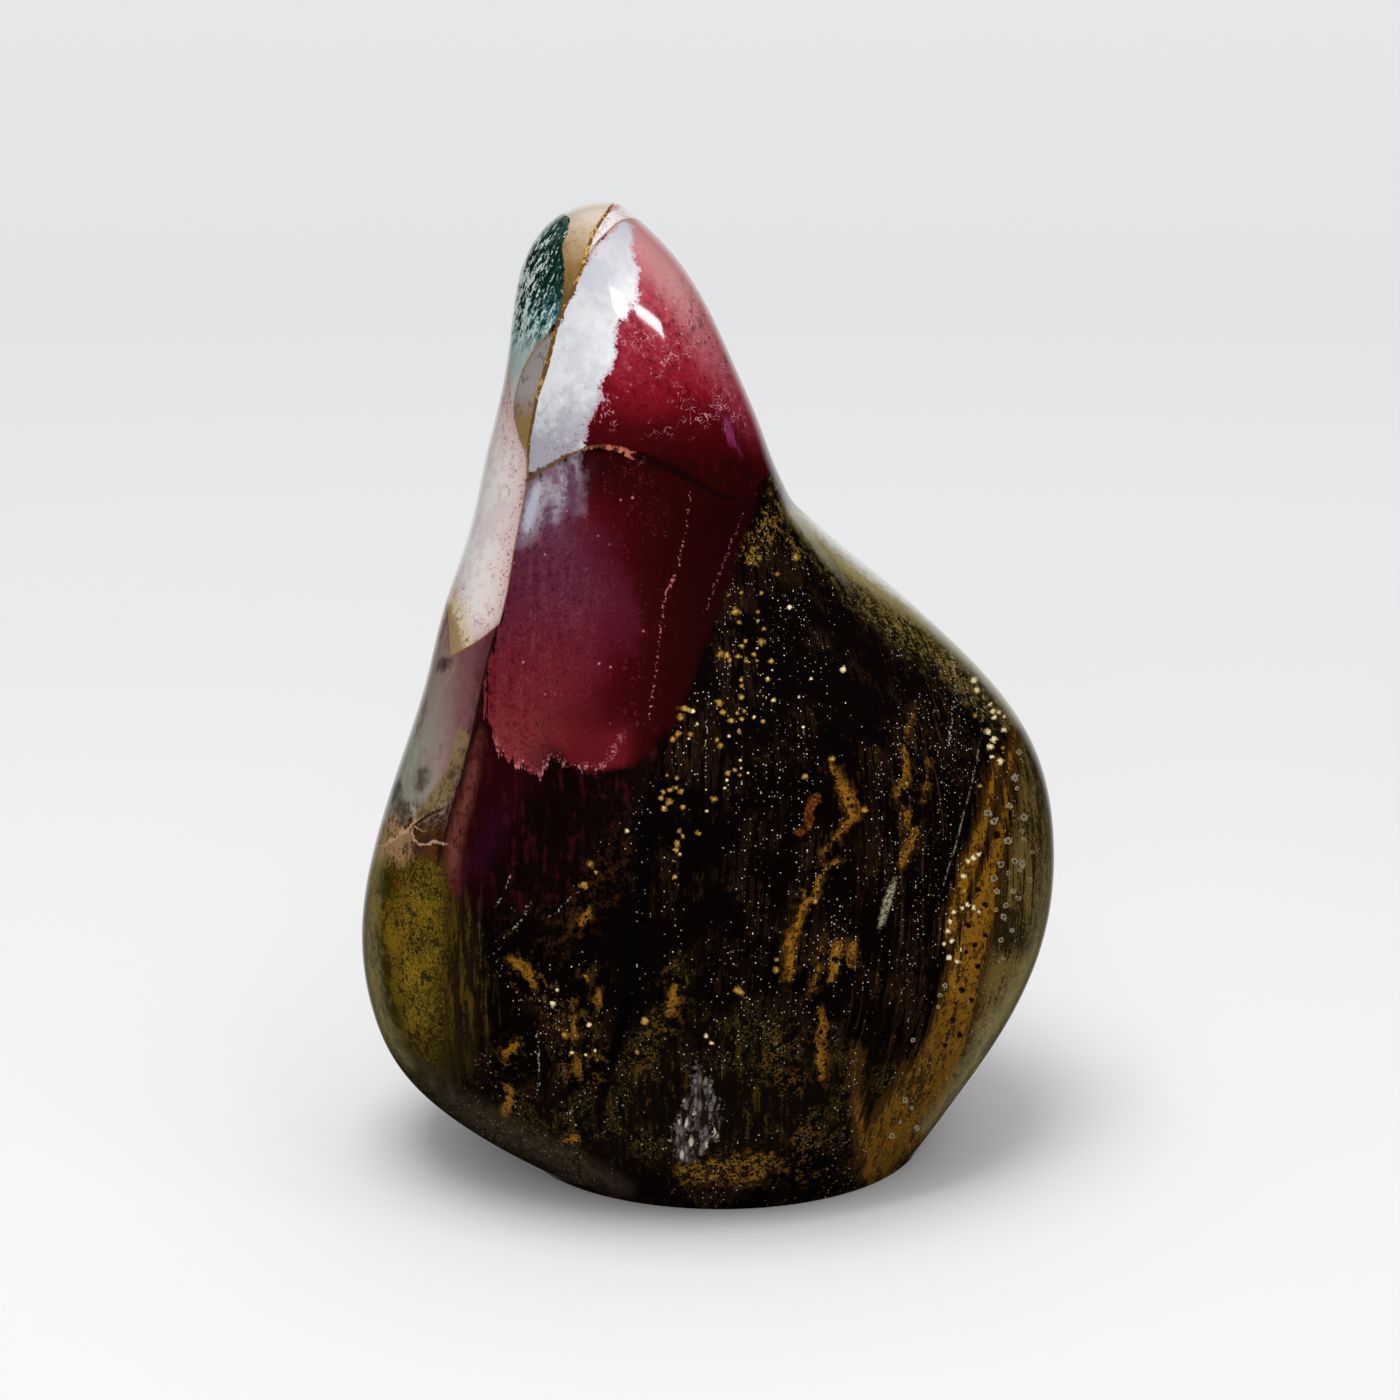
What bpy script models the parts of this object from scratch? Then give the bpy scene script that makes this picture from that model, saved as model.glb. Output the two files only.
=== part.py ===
"""An orbicular ocean jasper freeform: one polished stone with a leaning peak, a broad shoulder and a sawn base.

The stone rests on z = 0 with the middle of its outline over the origin. Its front is -Y and its shoulder +X.
Its form is a coarse cage of rings, one ring for each level up the stone, rounded by subdivision and sawn flat.
"""

import bpy
import numpy as np

MM = 0.001

# How far the rounded stone reaches at each level, in millimetres, from below the saw cut up to the tip. Left and
# right are its ends along X, front and back its ends along Y, and setback is how far its right end stands back.
LEVELS = (
    # height, left, right, front, back, setback
    (-8.0, -13.5, 19.0, -11.0, 9.0, 0.0),
    (-3.0, -17.0, 22.5, -16.5, 14.5, 0.0),
    (3.0, -26.5, 26.5, -21.0, 19.5, 0.0),
    (9.0, -34.5, 30.5, -23.5, 23.0, 0.0),
    (16.0, -38.0, 35.0, -25.5, 25.5, 1.0),
    (25.0, -39.0, 38.5, -27.0, 26.5, 2.0),
    (35.0, -37.5, 39.5, -26.5, 26.5, 3.5),
    (46.0, -34.0, 37.0, -24.5, 25.5, 5.0),
    (56.0, -30.5, 29.0, -22.0, 23.5, 6.5),
    (65.0, -28.0, 18.5, -18.5, 20.5, 6.5),
    (74.0, -24.5, 9.5, -15.5, 17.0, 3.0),
    (83.0, -22.0, 5.0, -13.0, 14.5, 1.0),
    (92.0, -21.0, 1.5, -11.0, 12.0, 0.0),
    (100.0, -19.5, -3.0, -9.0, 9.0, 0.0),
    (105.0, -15.5, -8.0, -5.0, 5.5, 0.0),
    (106.5, -10.0, -10.0, 0.0, 0.0, 0.0),
)
POINTS_PER_RING = 16
ROUNDING_LEVELS = 2

# The lowest point of the cage, x, y and z, and the cube below z = 0 that the saw takes away with it.
FOOT = (3.0, -1.0, -10.0)
SAW_BLOCK_SIDE = 160.0

# The polisher's hollow that parts the peak from the shoulder: how deep it is pressed into the front of the cage,
# where its middle lies, how far it spreads, and how far back it reaches.
HOLLOW_DEPTH = 4.0
HOLLOW_X, HOLLOW_Z = 17.5, 63.0
HOLLOW_SPREAD_X, HOLLOW_SPREAD_Z = 9.0, 11.0
HOLLOW_BACK_Y = 4.0


def cage_levels():
    """The levels of the cage, which stands far enough outside the stone for its rounded form to reach LEVELS.

    Rounding moves each level to a sixth of the level below it, two thirds of itself and a sixth of the level
    above it, so the cage is the solution of that rule for every level between the lowest one and the tip.
    """
    count = len(LEVELS)
    rounding = (np.eye(count, k=-1) + 4 * np.eye(count) + np.eye(count, k=1)) / 6
    rounding[0, :2] = 1, 0
    rounding[-1, -2:] = 0, 1
    return np.linalg.solve(rounding, np.array(LEVELS))


def ring(level):
    """One ring of the cage: an ellipse between the level's four ends, sheared along Y by its setback.

    Rounding shrinks a ring of evenly spaced points by a fixed share, which the ring is swollen by beforehand.
    """
    height, left, right, front, back, setback = level
    turn = 2 * np.pi * np.arange(POINTS_PER_RING) / POINTS_PER_RING
    swell = 6 / (4 + 2 * np.cos(turn[1]))
    x = (left + right) / 2 + swell * (right - left) / 2 * np.cos(turn)
    y = (front + back) / 2 + swell * ((back - front) / 2 * np.sin(turn) + setback * np.cos(turn))
    return np.column_stack([x, y, np.full(POINTS_PER_RING, height)])


def press_hollow(points):
    """Moves the front of the cage back by a bell curve in X and Z, deepest at the middle of the hollow."""
    x, y, z = points.T
    bell = np.exp(-(((x - HOLLOW_X) / HOLLOW_SPREAD_X) ** 2) - ((z - HOLLOW_Z) / HOLLOW_SPREAD_Z) ** 2)
    pressed = points.copy()
    pressed[:, 1] += HOLLOW_DEPTH * bell * (y < HOLLOW_BACK_Y)
    return pressed


def cage_points():
    """Every point of the cage in millimetres: its rings from the top down, then the tip, then the foot."""
    *rings, tip = cage_levels()
    stack = [press_hollow(ring(level)) for level in reversed(rings)]
    tip_point = [tip[1], tip[3], tip[0]]
    return np.vstack([*stack, tip_point, FOOT])


def places_in_cage(sphere):
    """For each vertex of the sphere primitive, the row of cage_points() that it moves to.

    A vertex's polar angle gives its ring, counted from the top, and its angle about Z gives its place on it.
    """
    place = np.empty(len(sphere.vertices) * 3)
    sphere.vertices.foreach_get("co", place)
    x, y, z = place.reshape(-1, 3).T
    rings = len(LEVELS) - 1
    from_top = np.rint(np.arccos(np.clip(z, -1, 1)) / np.pi * (rings + 1)).astype(int)
    around = np.rint(np.arctan2(y, x) / (2 * np.pi) * POINTS_PER_RING).astype(int) % POINTS_PER_RING
    row = (from_top - 1) * POINTS_PER_RING + around
    row[from_top == 0] = rings * POINTS_PER_RING
    row[from_top == rings + 1] = rings * POINTS_PER_RING + 1
    return row


def clear_scene():
    for obj in list(bpy.data.objects):
        bpy.data.objects.remove(obj)


def new_collection(name):
    collection = bpy.data.collections.new(name)
    bpy.context.scene.collection.children.link(collection)
    return collection


def move_to(obj, collection):
    for holder in list(obj.users_collection):
        holder.objects.unlink(obj)
    collection.objects.link(obj)


def polished_jasper():
    """Glossy stone in the dark brown that covers most of it."""
    material = bpy.data.materials.new("polished_jasper")
    material.use_nodes = True
    finish = material.node_tree.nodes["Principled BSDF"]
    finish.inputs["Base Color"].default_value = (0.045, 0.022, 0.012, 1.0)
    finish.inputs["Roughness"].default_value = 0.12
    finish.inputs["Metallic"].default_value = 0.0
    return material


def make_stone(collection):
    """The sphere primitive with its vertices moved to the cage, then rounded."""
    bpy.ops.mesh.primitive_uv_sphere_add(segments=POINTS_PER_RING, ring_count=len(LEVELS), radius=1.0)
    stone = bpy.context.object
    stone.name = stone.data.name = "stone"
    points = cage_points()[places_in_cage(stone.data)] * MM
    stone.data.vertices.foreach_set("co", points.ravel())
    stone.data.shade_smooth()
    stone.data.materials.append(polished_jasper())
    rounding = stone.modifiers.new("rounding", "SUBSURF")
    rounding.levels = rounding.render_levels = ROUNDING_LEVELS
    move_to(stone, collection)
    return stone


def saw_base(stone, cutters):
    """Takes away everything below z = 0, which leaves the flat that the stone rests on."""
    side = SAW_BLOCK_SIDE * MM
    bpy.ops.mesh.primitive_cube_add(size=side, location=(0, 0, -side / 2))
    block = bpy.context.object
    block.name = block.data.name = "saw_block"
    block.hide_render = True
    block.display_type = "WIRE"
    move_to(block, cutters)
    cut = stone.modifiers.new("sawn_base", "BOOLEAN")
    cut.operation = "DIFFERENCE"
    cut.solver = "EXACT"
    cut.object = block


def main():
    clear_scene()
    stone = make_stone(new_collection("ocean_jasper_freeform"))
    saw_base(stone, new_collection("cutters"))


main()
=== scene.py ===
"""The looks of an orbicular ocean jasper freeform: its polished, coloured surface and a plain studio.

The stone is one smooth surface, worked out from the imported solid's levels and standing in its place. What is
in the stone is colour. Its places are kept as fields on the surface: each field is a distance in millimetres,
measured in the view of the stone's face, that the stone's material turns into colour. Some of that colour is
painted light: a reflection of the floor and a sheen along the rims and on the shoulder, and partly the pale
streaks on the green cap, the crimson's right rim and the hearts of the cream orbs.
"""

import math

import bpy
import numpy as np
from mathutils import Matrix, Vector


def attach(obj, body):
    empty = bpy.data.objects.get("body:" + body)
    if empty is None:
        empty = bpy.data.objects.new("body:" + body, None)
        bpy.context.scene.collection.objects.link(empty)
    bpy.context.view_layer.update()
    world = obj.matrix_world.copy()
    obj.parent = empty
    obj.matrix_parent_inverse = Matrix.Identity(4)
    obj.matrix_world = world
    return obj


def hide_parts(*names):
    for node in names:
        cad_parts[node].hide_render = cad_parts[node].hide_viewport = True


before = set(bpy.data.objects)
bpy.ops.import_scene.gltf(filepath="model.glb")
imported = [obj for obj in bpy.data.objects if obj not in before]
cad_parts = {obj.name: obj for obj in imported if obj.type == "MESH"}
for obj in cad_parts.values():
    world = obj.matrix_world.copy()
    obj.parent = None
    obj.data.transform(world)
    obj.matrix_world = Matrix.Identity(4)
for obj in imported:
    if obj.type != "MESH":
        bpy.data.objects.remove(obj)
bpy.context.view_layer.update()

MM = 0.001

# The form of the stone

# How far the stone reaches at each level, in millimetres.
LEVELS = (
    # height, left, right, front, back, setback
    (-8.0, -13.5, 19.0, -11.0, 9.0, 0.0),
    (-3.0, -17.0, 22.5, -16.5, 14.5, 0.0),
    (3.0, -26.5, 26.5, -21.0, 19.5, 0.0),
    (9.0, -34.5, 30.5, -23.5, 23.0, 0.0),
    (16.0, -38.0, 35.0, -25.5, 25.5, 1.0),
    (25.0, -39.0, 38.5, -27.0, 26.5, 2.0),
    (35.0, -37.5, 39.5, -26.5, 26.5, 3.5),
    (46.0, -34.0, 37.0, -24.5, 25.5, 5.0),
    (56.0, -30.5, 29.0, -22.0, 23.5, 6.5),
    (65.0, -28.0, 18.5, -18.5, 20.5, 6.5),
    (74.0, -24.5, 9.5, -15.5, 17.0, 3.0),
    (83.0, -22.0, 5.0, -13.0, 14.5, 1.0),
    (92.0, -21.0, 1.5, -11.0, 12.0, 0.0),
    (100.0, -19.5, -3.0, -9.0, 9.0, 0.0),
    (105.0, -15.5, -8.0, -5.0, 5.5, 0.0),
    (106.5, -10.0, -10.0, 0.0, 0.0, 0.0),
)
POINTS_PER_RING = 16

# The polisher's hollow between the peak and the shoulder.
HOLLOW_DEPTH = 4.0
HOLLOW_X, HOLLOW_Z = 17.5, 63.0
HOLLOW_SPREAD_X, HOLLOW_SPREAD_Z = 9.0, 11.0
HOLLOW_BACK_Y = 4.0

# The crease down the peak's right flank: its line on the face, how far the stone behind it steps back, over
# what distances beside the line it does so and comes forward again, between which places along y it dies out
# towards the back, and over which shares of the line it swells and fades.
CREASE = ((772, 474), (784, 496), (800, 530), (816, 557), (836, 582), (862, 612))
CREASE_STEP = 1.8
CREASE_RISE = (-0.2, 1.3)
CREASE_SPREAD = 4.5
CREASE_BACK_Y = (6.0, 14.0)
CREASE_SWELL = (0.0, 0.3)
CREASE_FADE = (0.7, 1.3)

# Slight swellings beside it: their middle and spread on the face, and how far they push x and z.
SWELLINGS = (
    ((480, 447), (60, 76), (-1.3, 0.0)),
    ((758, 425), (40, 60), (0.45, 0.0)),
    ((800, 505), (22, 20), (-0.45, 0.0)),
    ((880, 585), (60, 50), (0.1, 0.25)),
)

# The grid of the surface, and how much closer its columns lie on the front.
SURFACE_ROWS = 262
SURFACE_COLUMNS = 360
FRONT_SHARE = 0.4

# The eased edge of the sawn base, in millimetres, the angles of its two rows, the cage rows between which the
# surface reaches its height, and the shares of the outline that the base's rings have.
BASE_EASE = 0.35
EASE_ANGLES = (0.5, 1.1)
BASE_BETWEEN = np.linspace(1, 3, 401)
BASE_RINGS = (0.97, 0.8, 0.55, 0.25)

# The view of the face

# The camera stands in front of the stone, looks down at it by this angle and sees a square of so many pixels.
# All places on the face below are in these pixels, as points or as points with half a width or a radius.
VIEW_SIDE = 1400
VIEW_FOCAL = 2160
VIEW_TARGET = np.array([-0.9, 0.0, 52.3])
VIEW_DISTANCE = 240.0
VIEW_TILT = math.radians(15)
PIXELS_PER_MM = 9.0
SENSOR_WIDTH = 36.0

VIEW_AHEAD = np.array([0.0, math.cos(VIEW_TILT), -math.sin(VIEW_TILT)])
VIEW_UP = np.array([0.0, math.sin(VIEW_TILT), math.cos(VIEW_TILT)])
VIEW_PLACE = VIEW_TARGET - VIEW_DISTANCE * VIEW_AHEAD


def smooth_step(low, high, value):
    """0 below low, 1 above high and 3t^2 - 2t^3 between them."""
    t = np.clip((value - low) / (high - low), 0, 1)
    return t * t * (3 - 2 * t)


def cage_levels():
    """The levels of the cage whose rounded form passes through LEVELS.

    Rounding makes each level a sixth of the one below, two thirds of itself and a sixth of the one above.
    """
    count = len(LEVELS)
    rounding = (np.eye(count, k=-1) + 4 * np.eye(count) + np.eye(count, k=1)) / 6
    rounding[0, :2] = 1, 0
    rounding[-1, -2:] = 0, 1
    return np.linalg.solve(rounding, np.array(LEVELS))


def cage():
    """The cage as an array of rings by points by x, y, z.

    Each ring is an ellipse between its level's four ends, swollen by what rounding takes off it and sheared
    by its setback. The front is pressed in at the hollow by a bell curve in x and z.
    """
    height, left, right, front, back, setback = (column[:, None] for column in cage_levels().T)
    turn = 2 * np.pi * np.arange(POINTS_PER_RING) / POINTS_PER_RING
    swell = 6 / (4 + 2 * np.cos(turn[1]))
    x = (left + right) / 2 + swell * (right - left) / 2 * np.cos(turn)
    y = (front + back) / 2 + swell * ((back - front) / 2 * np.sin(turn) + setback * np.cos(turn))
    z = height + 0 * x
    bell = np.exp(-(((x - HOLLOW_X) / HOLLOW_SPREAD_X) ** 2) - ((z - HOLLOW_Z) / HOLLOW_SPREAD_Z) ** 2)
    return np.stack([x, y + HOLLOW_DEPTH * bell * (y < HOLLOW_BACK_Y), z], axis=-1)


def rounded(points, at, closed):
    """The uniform cubic spline of a row of points, at the places in at, counted in points.

    Each place is a blend of the four points around it, by the cubic weights of its share of a step.
    """
    index = np.floor(at).astype(int)
    u = (at - index).reshape(-1, *[1] * (points.ndim - 1))
    weights = ((1 - u) ** 3, 3 * u**3 - 6 * u**2 + 4, -3 * u**3 + 3 * u**2 + 3 * u + 1, u**3)
    last = len(points)
    total = 0
    for step, weight in zip((-1, 0, 1, 2), weights):
        near = (index + step) % last if closed else np.clip(index + step, 0, last - 1)
        total = total + weight / 6 * points[near]
    return total


def press_crease(grid):
    """Steps the stone behind the crease back along y, and swells the outline beside it.

    The step is a smooth rise across the line times a bell curve away from it, and it swells and fades along
    the line. The swellings are bell curves on the face.
    """
    points = grid.reshape(-1, 3)
    spots = seen(points)
    line = np.array(CREASE, dtype=float)
    side, away, _, _ = to_line(spots, line[:-1], line[1:])
    across = side * away / PIXELS_PER_MM
    first, last = line[0], line[-1]
    along = (spots - first) @ (last - first) / ((last - first) ** 2).sum()
    swell = smooth_step(*CREASE_SWELL, along) * (1 - smooth_step(*CREASE_FADE, along))
    step = smooth_step(*CREASE_RISE, across) * np.exp(-((across / CREASE_SPREAD) ** 2)) * swell
    front = 1 - smooth_step(*CREASE_BACK_Y, points[:, 1])
    pressed = points.copy()
    pressed[:, 1] += CREASE_STEP * step * front
    for middle, spread, push in SWELLINGS:
        bell = np.exp(-(((spots - middle) / spread) ** 2).sum(axis=1))
        pressed[:, 0] += push[0] * bell
        pressed[:, 2] += push[1] * bell
    return pressed.reshape(grid.shape)


def stone_grid():
    """The polished surface from the base's edge up to the tip, as rows by columns by x, y, z.

    Past the tip the cage goes on with its top ring turned half round, so that the surface is smooth over it.
    The columns lie closer together on the front, by a cosine of the turn.
    """
    rings = cage()
    past_tip = np.roll(rings[-2], POINTS_PER_RING // 2, axis=0)
    rings = np.concatenate([rings, past_tip[None]])
    tip = len(rings) - 2
    base = np.interp(BASE_EASE, rounded(rings[:, 0], BASE_BETWEEN, False)[:, 2], BASE_BETWEEN)
    rows = rounded(rings, np.linspace(base, tip, SURFACE_ROWS), False)
    turn = np.linspace(0, 2 * np.pi, SURFACE_COLUMNS, endpoint=False)
    around = (turn - FRONT_SHARE * np.cos(turn)) / (2 * np.pi) * POINTS_PER_RING % POINTS_PER_RING
    return press_crease(rounded(rows.transpose(1, 0, 2), around, True).transpose(1, 0, 2))


def with_base(grid):
    """The grid with the sawn base below it: a small rounded edge, then rings that shrink to the middle.

    The base's outline is the lowest row drawn in by the ease, and each ring is that outline times its share.
    """
    edge = grid[0].copy()
    middle = edge.mean(axis=0)
    inward = middle - edge
    inward[:, 2] = 0
    inward /= np.linalg.norm(inward, axis=1)[:, None]
    lowered = [edge + inward * BASE_EASE * (1 - math.cos(a)) for a in EASE_ANGLES]
    for row, a in zip(lowered, EASE_ANGLES):
        row[:, 2] = BASE_EASE * (1 - math.sin(a))
    flat = edge + inward * BASE_EASE
    flat[:, 2] = 0
    centre = np.array([middle[0], middle[1], 0.0])
    rings = [centre + share * (flat - centre) for share in reversed(BASE_RINGS)]
    return np.concatenate([np.stack([*rings, flat, *reversed(lowered)]), grid])


def grid_mesh(name, rows):
    """A closed mesh over rows of points around an axis: quads between rows, a fan at each end."""
    count, around = rows.shape[:2]
    index = np.arange(count * around).reshape(count, around)
    beside = np.roll(index, -1, axis=1)
    quads = np.stack([index[:-1], beside[:-1], beside[1:], index[1:]], axis=-1).reshape(-1, 4)
    foot, top = count * around, count * around + 1
    foot_fan = np.column_stack([beside[0], index[0], np.full(around, foot)])
    top_fan = np.column_stack([index[-1], beside[-1], np.full(around, top)])
    points = np.vstack([rows.reshape(-1, 3), rows[0].mean(axis=0), rows[-1].mean(axis=0)])
    mesh = bpy.data.meshes.new(name)
    mesh.from_pydata(points * MM, [], [*quads.tolist(), *foot_fan.tolist(), *top_fan.tolist()])
    mesh.update()
    mesh.shade_smooth()
    return mesh, points


# The face: where things are in the stone

# Closed outlines of the coloured fields.
OUTLINES = {
    "green_cap": (
        (500, 150), (552, 190), (561, 214), (571, 220), (567, 234), (563, 248), (565, 265), (566, 278),
        (563, 290), (562, 312), (553, 327), (540, 344), (529, 358), (521, 376), (518, 400), (516, 420),
        (400, 420), (300, 250),
    ),
    "cream_cap": (
        (545, 170), (640, 180), (613, 206), (603, 218), (593, 234), (587, 251), (577, 280), (570, 297),
        (561, 315), (553, 332), (549, 336), (558, 318), (562, 300), (565, 275), (563, 258), (563, 246),
        (567, 233), (571, 219), (562, 213),
    ),
    "pink_seam": (
        (613, 205), (645, 210), (644, 223), (632, 218), (618, 222), (609, 231), (597, 242), (587, 257),
        (593, 236),
    ),
    "grey_sliver": (
        (553, 333), (548, 358), (543, 376), (536, 399), (533, 419), (529, 439), (527, 456), (519, 437),
        (513, 412), (515, 395), (521, 376), (529, 358), (539, 344),
    ),
    "chalcedony": (
        (625, 214), (636, 232), (633, 247), (639, 262), (638, 280), (640, 296), (633, 310), (622, 323),
        (614, 338), (619, 350), (613, 368), (602, 384), (602, 402), (592, 416), (585, 433), (586, 451),
        (575, 452), (560, 460), (545, 468), (529, 479), (520, 440), (533, 405), (546, 362), (560, 320),
        (575, 285), (587, 257), (600, 240), (612, 228),
    ),
    "crimson": (
        (600, 170), (700, 180), (840, 500), (772, 470), (764, 478), (752, 493), (730, 499), (710, 491),
        (690, 478), (665, 466), (640, 458), (615, 448), (588, 446), (560, 460), (580, 380), (600, 300),
        (610, 230),
    ),
    "lavender": (
        (526, 483), (535, 476), (545, 468), (560, 460), (575, 452), (582, 450), (585, 470), (580, 496),
        (574, 516), (568, 506), (562, 518), (556, 528), (545, 522), (534, 540), (524, 548), (514, 540),
        (518, 513), (524, 497),
    ),
    "deep_red": (
        (560, 455), (588, 446), (640, 457), (690, 477), (730, 498), (764, 480), (752, 520), (735, 560),
        (715, 620), (700, 660), (684, 705), (660, 740), (640, 762), (600, 771), (568, 768), (552, 745),
        (545, 700),
    ),
    "rose_patch": (
        (526, 482), (560, 460), (600, 446), (640, 458), (680, 500), (690, 560), (670, 640), (655, 700),
        (634, 716), (624, 738), (612, 759), (600, 769), (592, 768), (570, 767), (561, 766), (553, 757),
        (546, 768), (538, 778), (530, 776), (524, 770), (518, 762), (508, 764), (500, 756), (494, 743),
        (488, 715), (486, 690), (488, 660), (500, 624), (508, 570), (514, 540), (518, 513),
    ),
    "maroon": (
        (494, 640), (560, 640), (640, 660), (650, 700), (655, 745), (640, 790), (600, 850), (560, 895),
        (510, 915), (460, 905), (441, 850), (449, 827), (459, 783), (468, 749), (479, 705),
    ),
    "grey_flank": (
        (449, 630), (452, 656), (478, 640), (499, 625), (492, 640), (480, 696), (468, 752), (462, 777),
        (448, 824), (443, 850), (440, 886), (400, 890), (100, 890), (100, 480), (300, 560), (445, 590),
    ),
    "tan_flank": (
        (461, 726), (472, 735), (466, 760), (457, 784), (451, 800), (437, 813), (413, 822), (427, 799),
        (440, 780), (450, 763), (456, 743),
    ),
    "mustard": (
        (100, 860), (388, 850), (415, 848), (444, 852), (462, 885), (478, 930), (482, 975), (482, 1020),
        (478, 1060), (455, 1085), (420, 1095), (380, 1100), (100, 1150),
    ),
    "crystals": (
        (695, 1058), (704, 1071), (712, 1084), (721, 1110), (719, 1134), (703, 1156), (684, 1168),
        (670, 1150), (673, 1130), (684, 1108), (692, 1081),
    ),
}

# The broken edge of the pale patch keeps its corners.
PALE_PATCH = (
    (510, 306), (508, 340), (510, 378), (512, 410), (519, 437), (528, 457), (526, 484), (521, 513),
    (514, 549), (507, 592), (499.5, 624), (478, 641), (451, 656), (448, 620), (446, 590), (300, 590),
    (150, 520), (150, 320), (300, 280),
)

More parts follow.
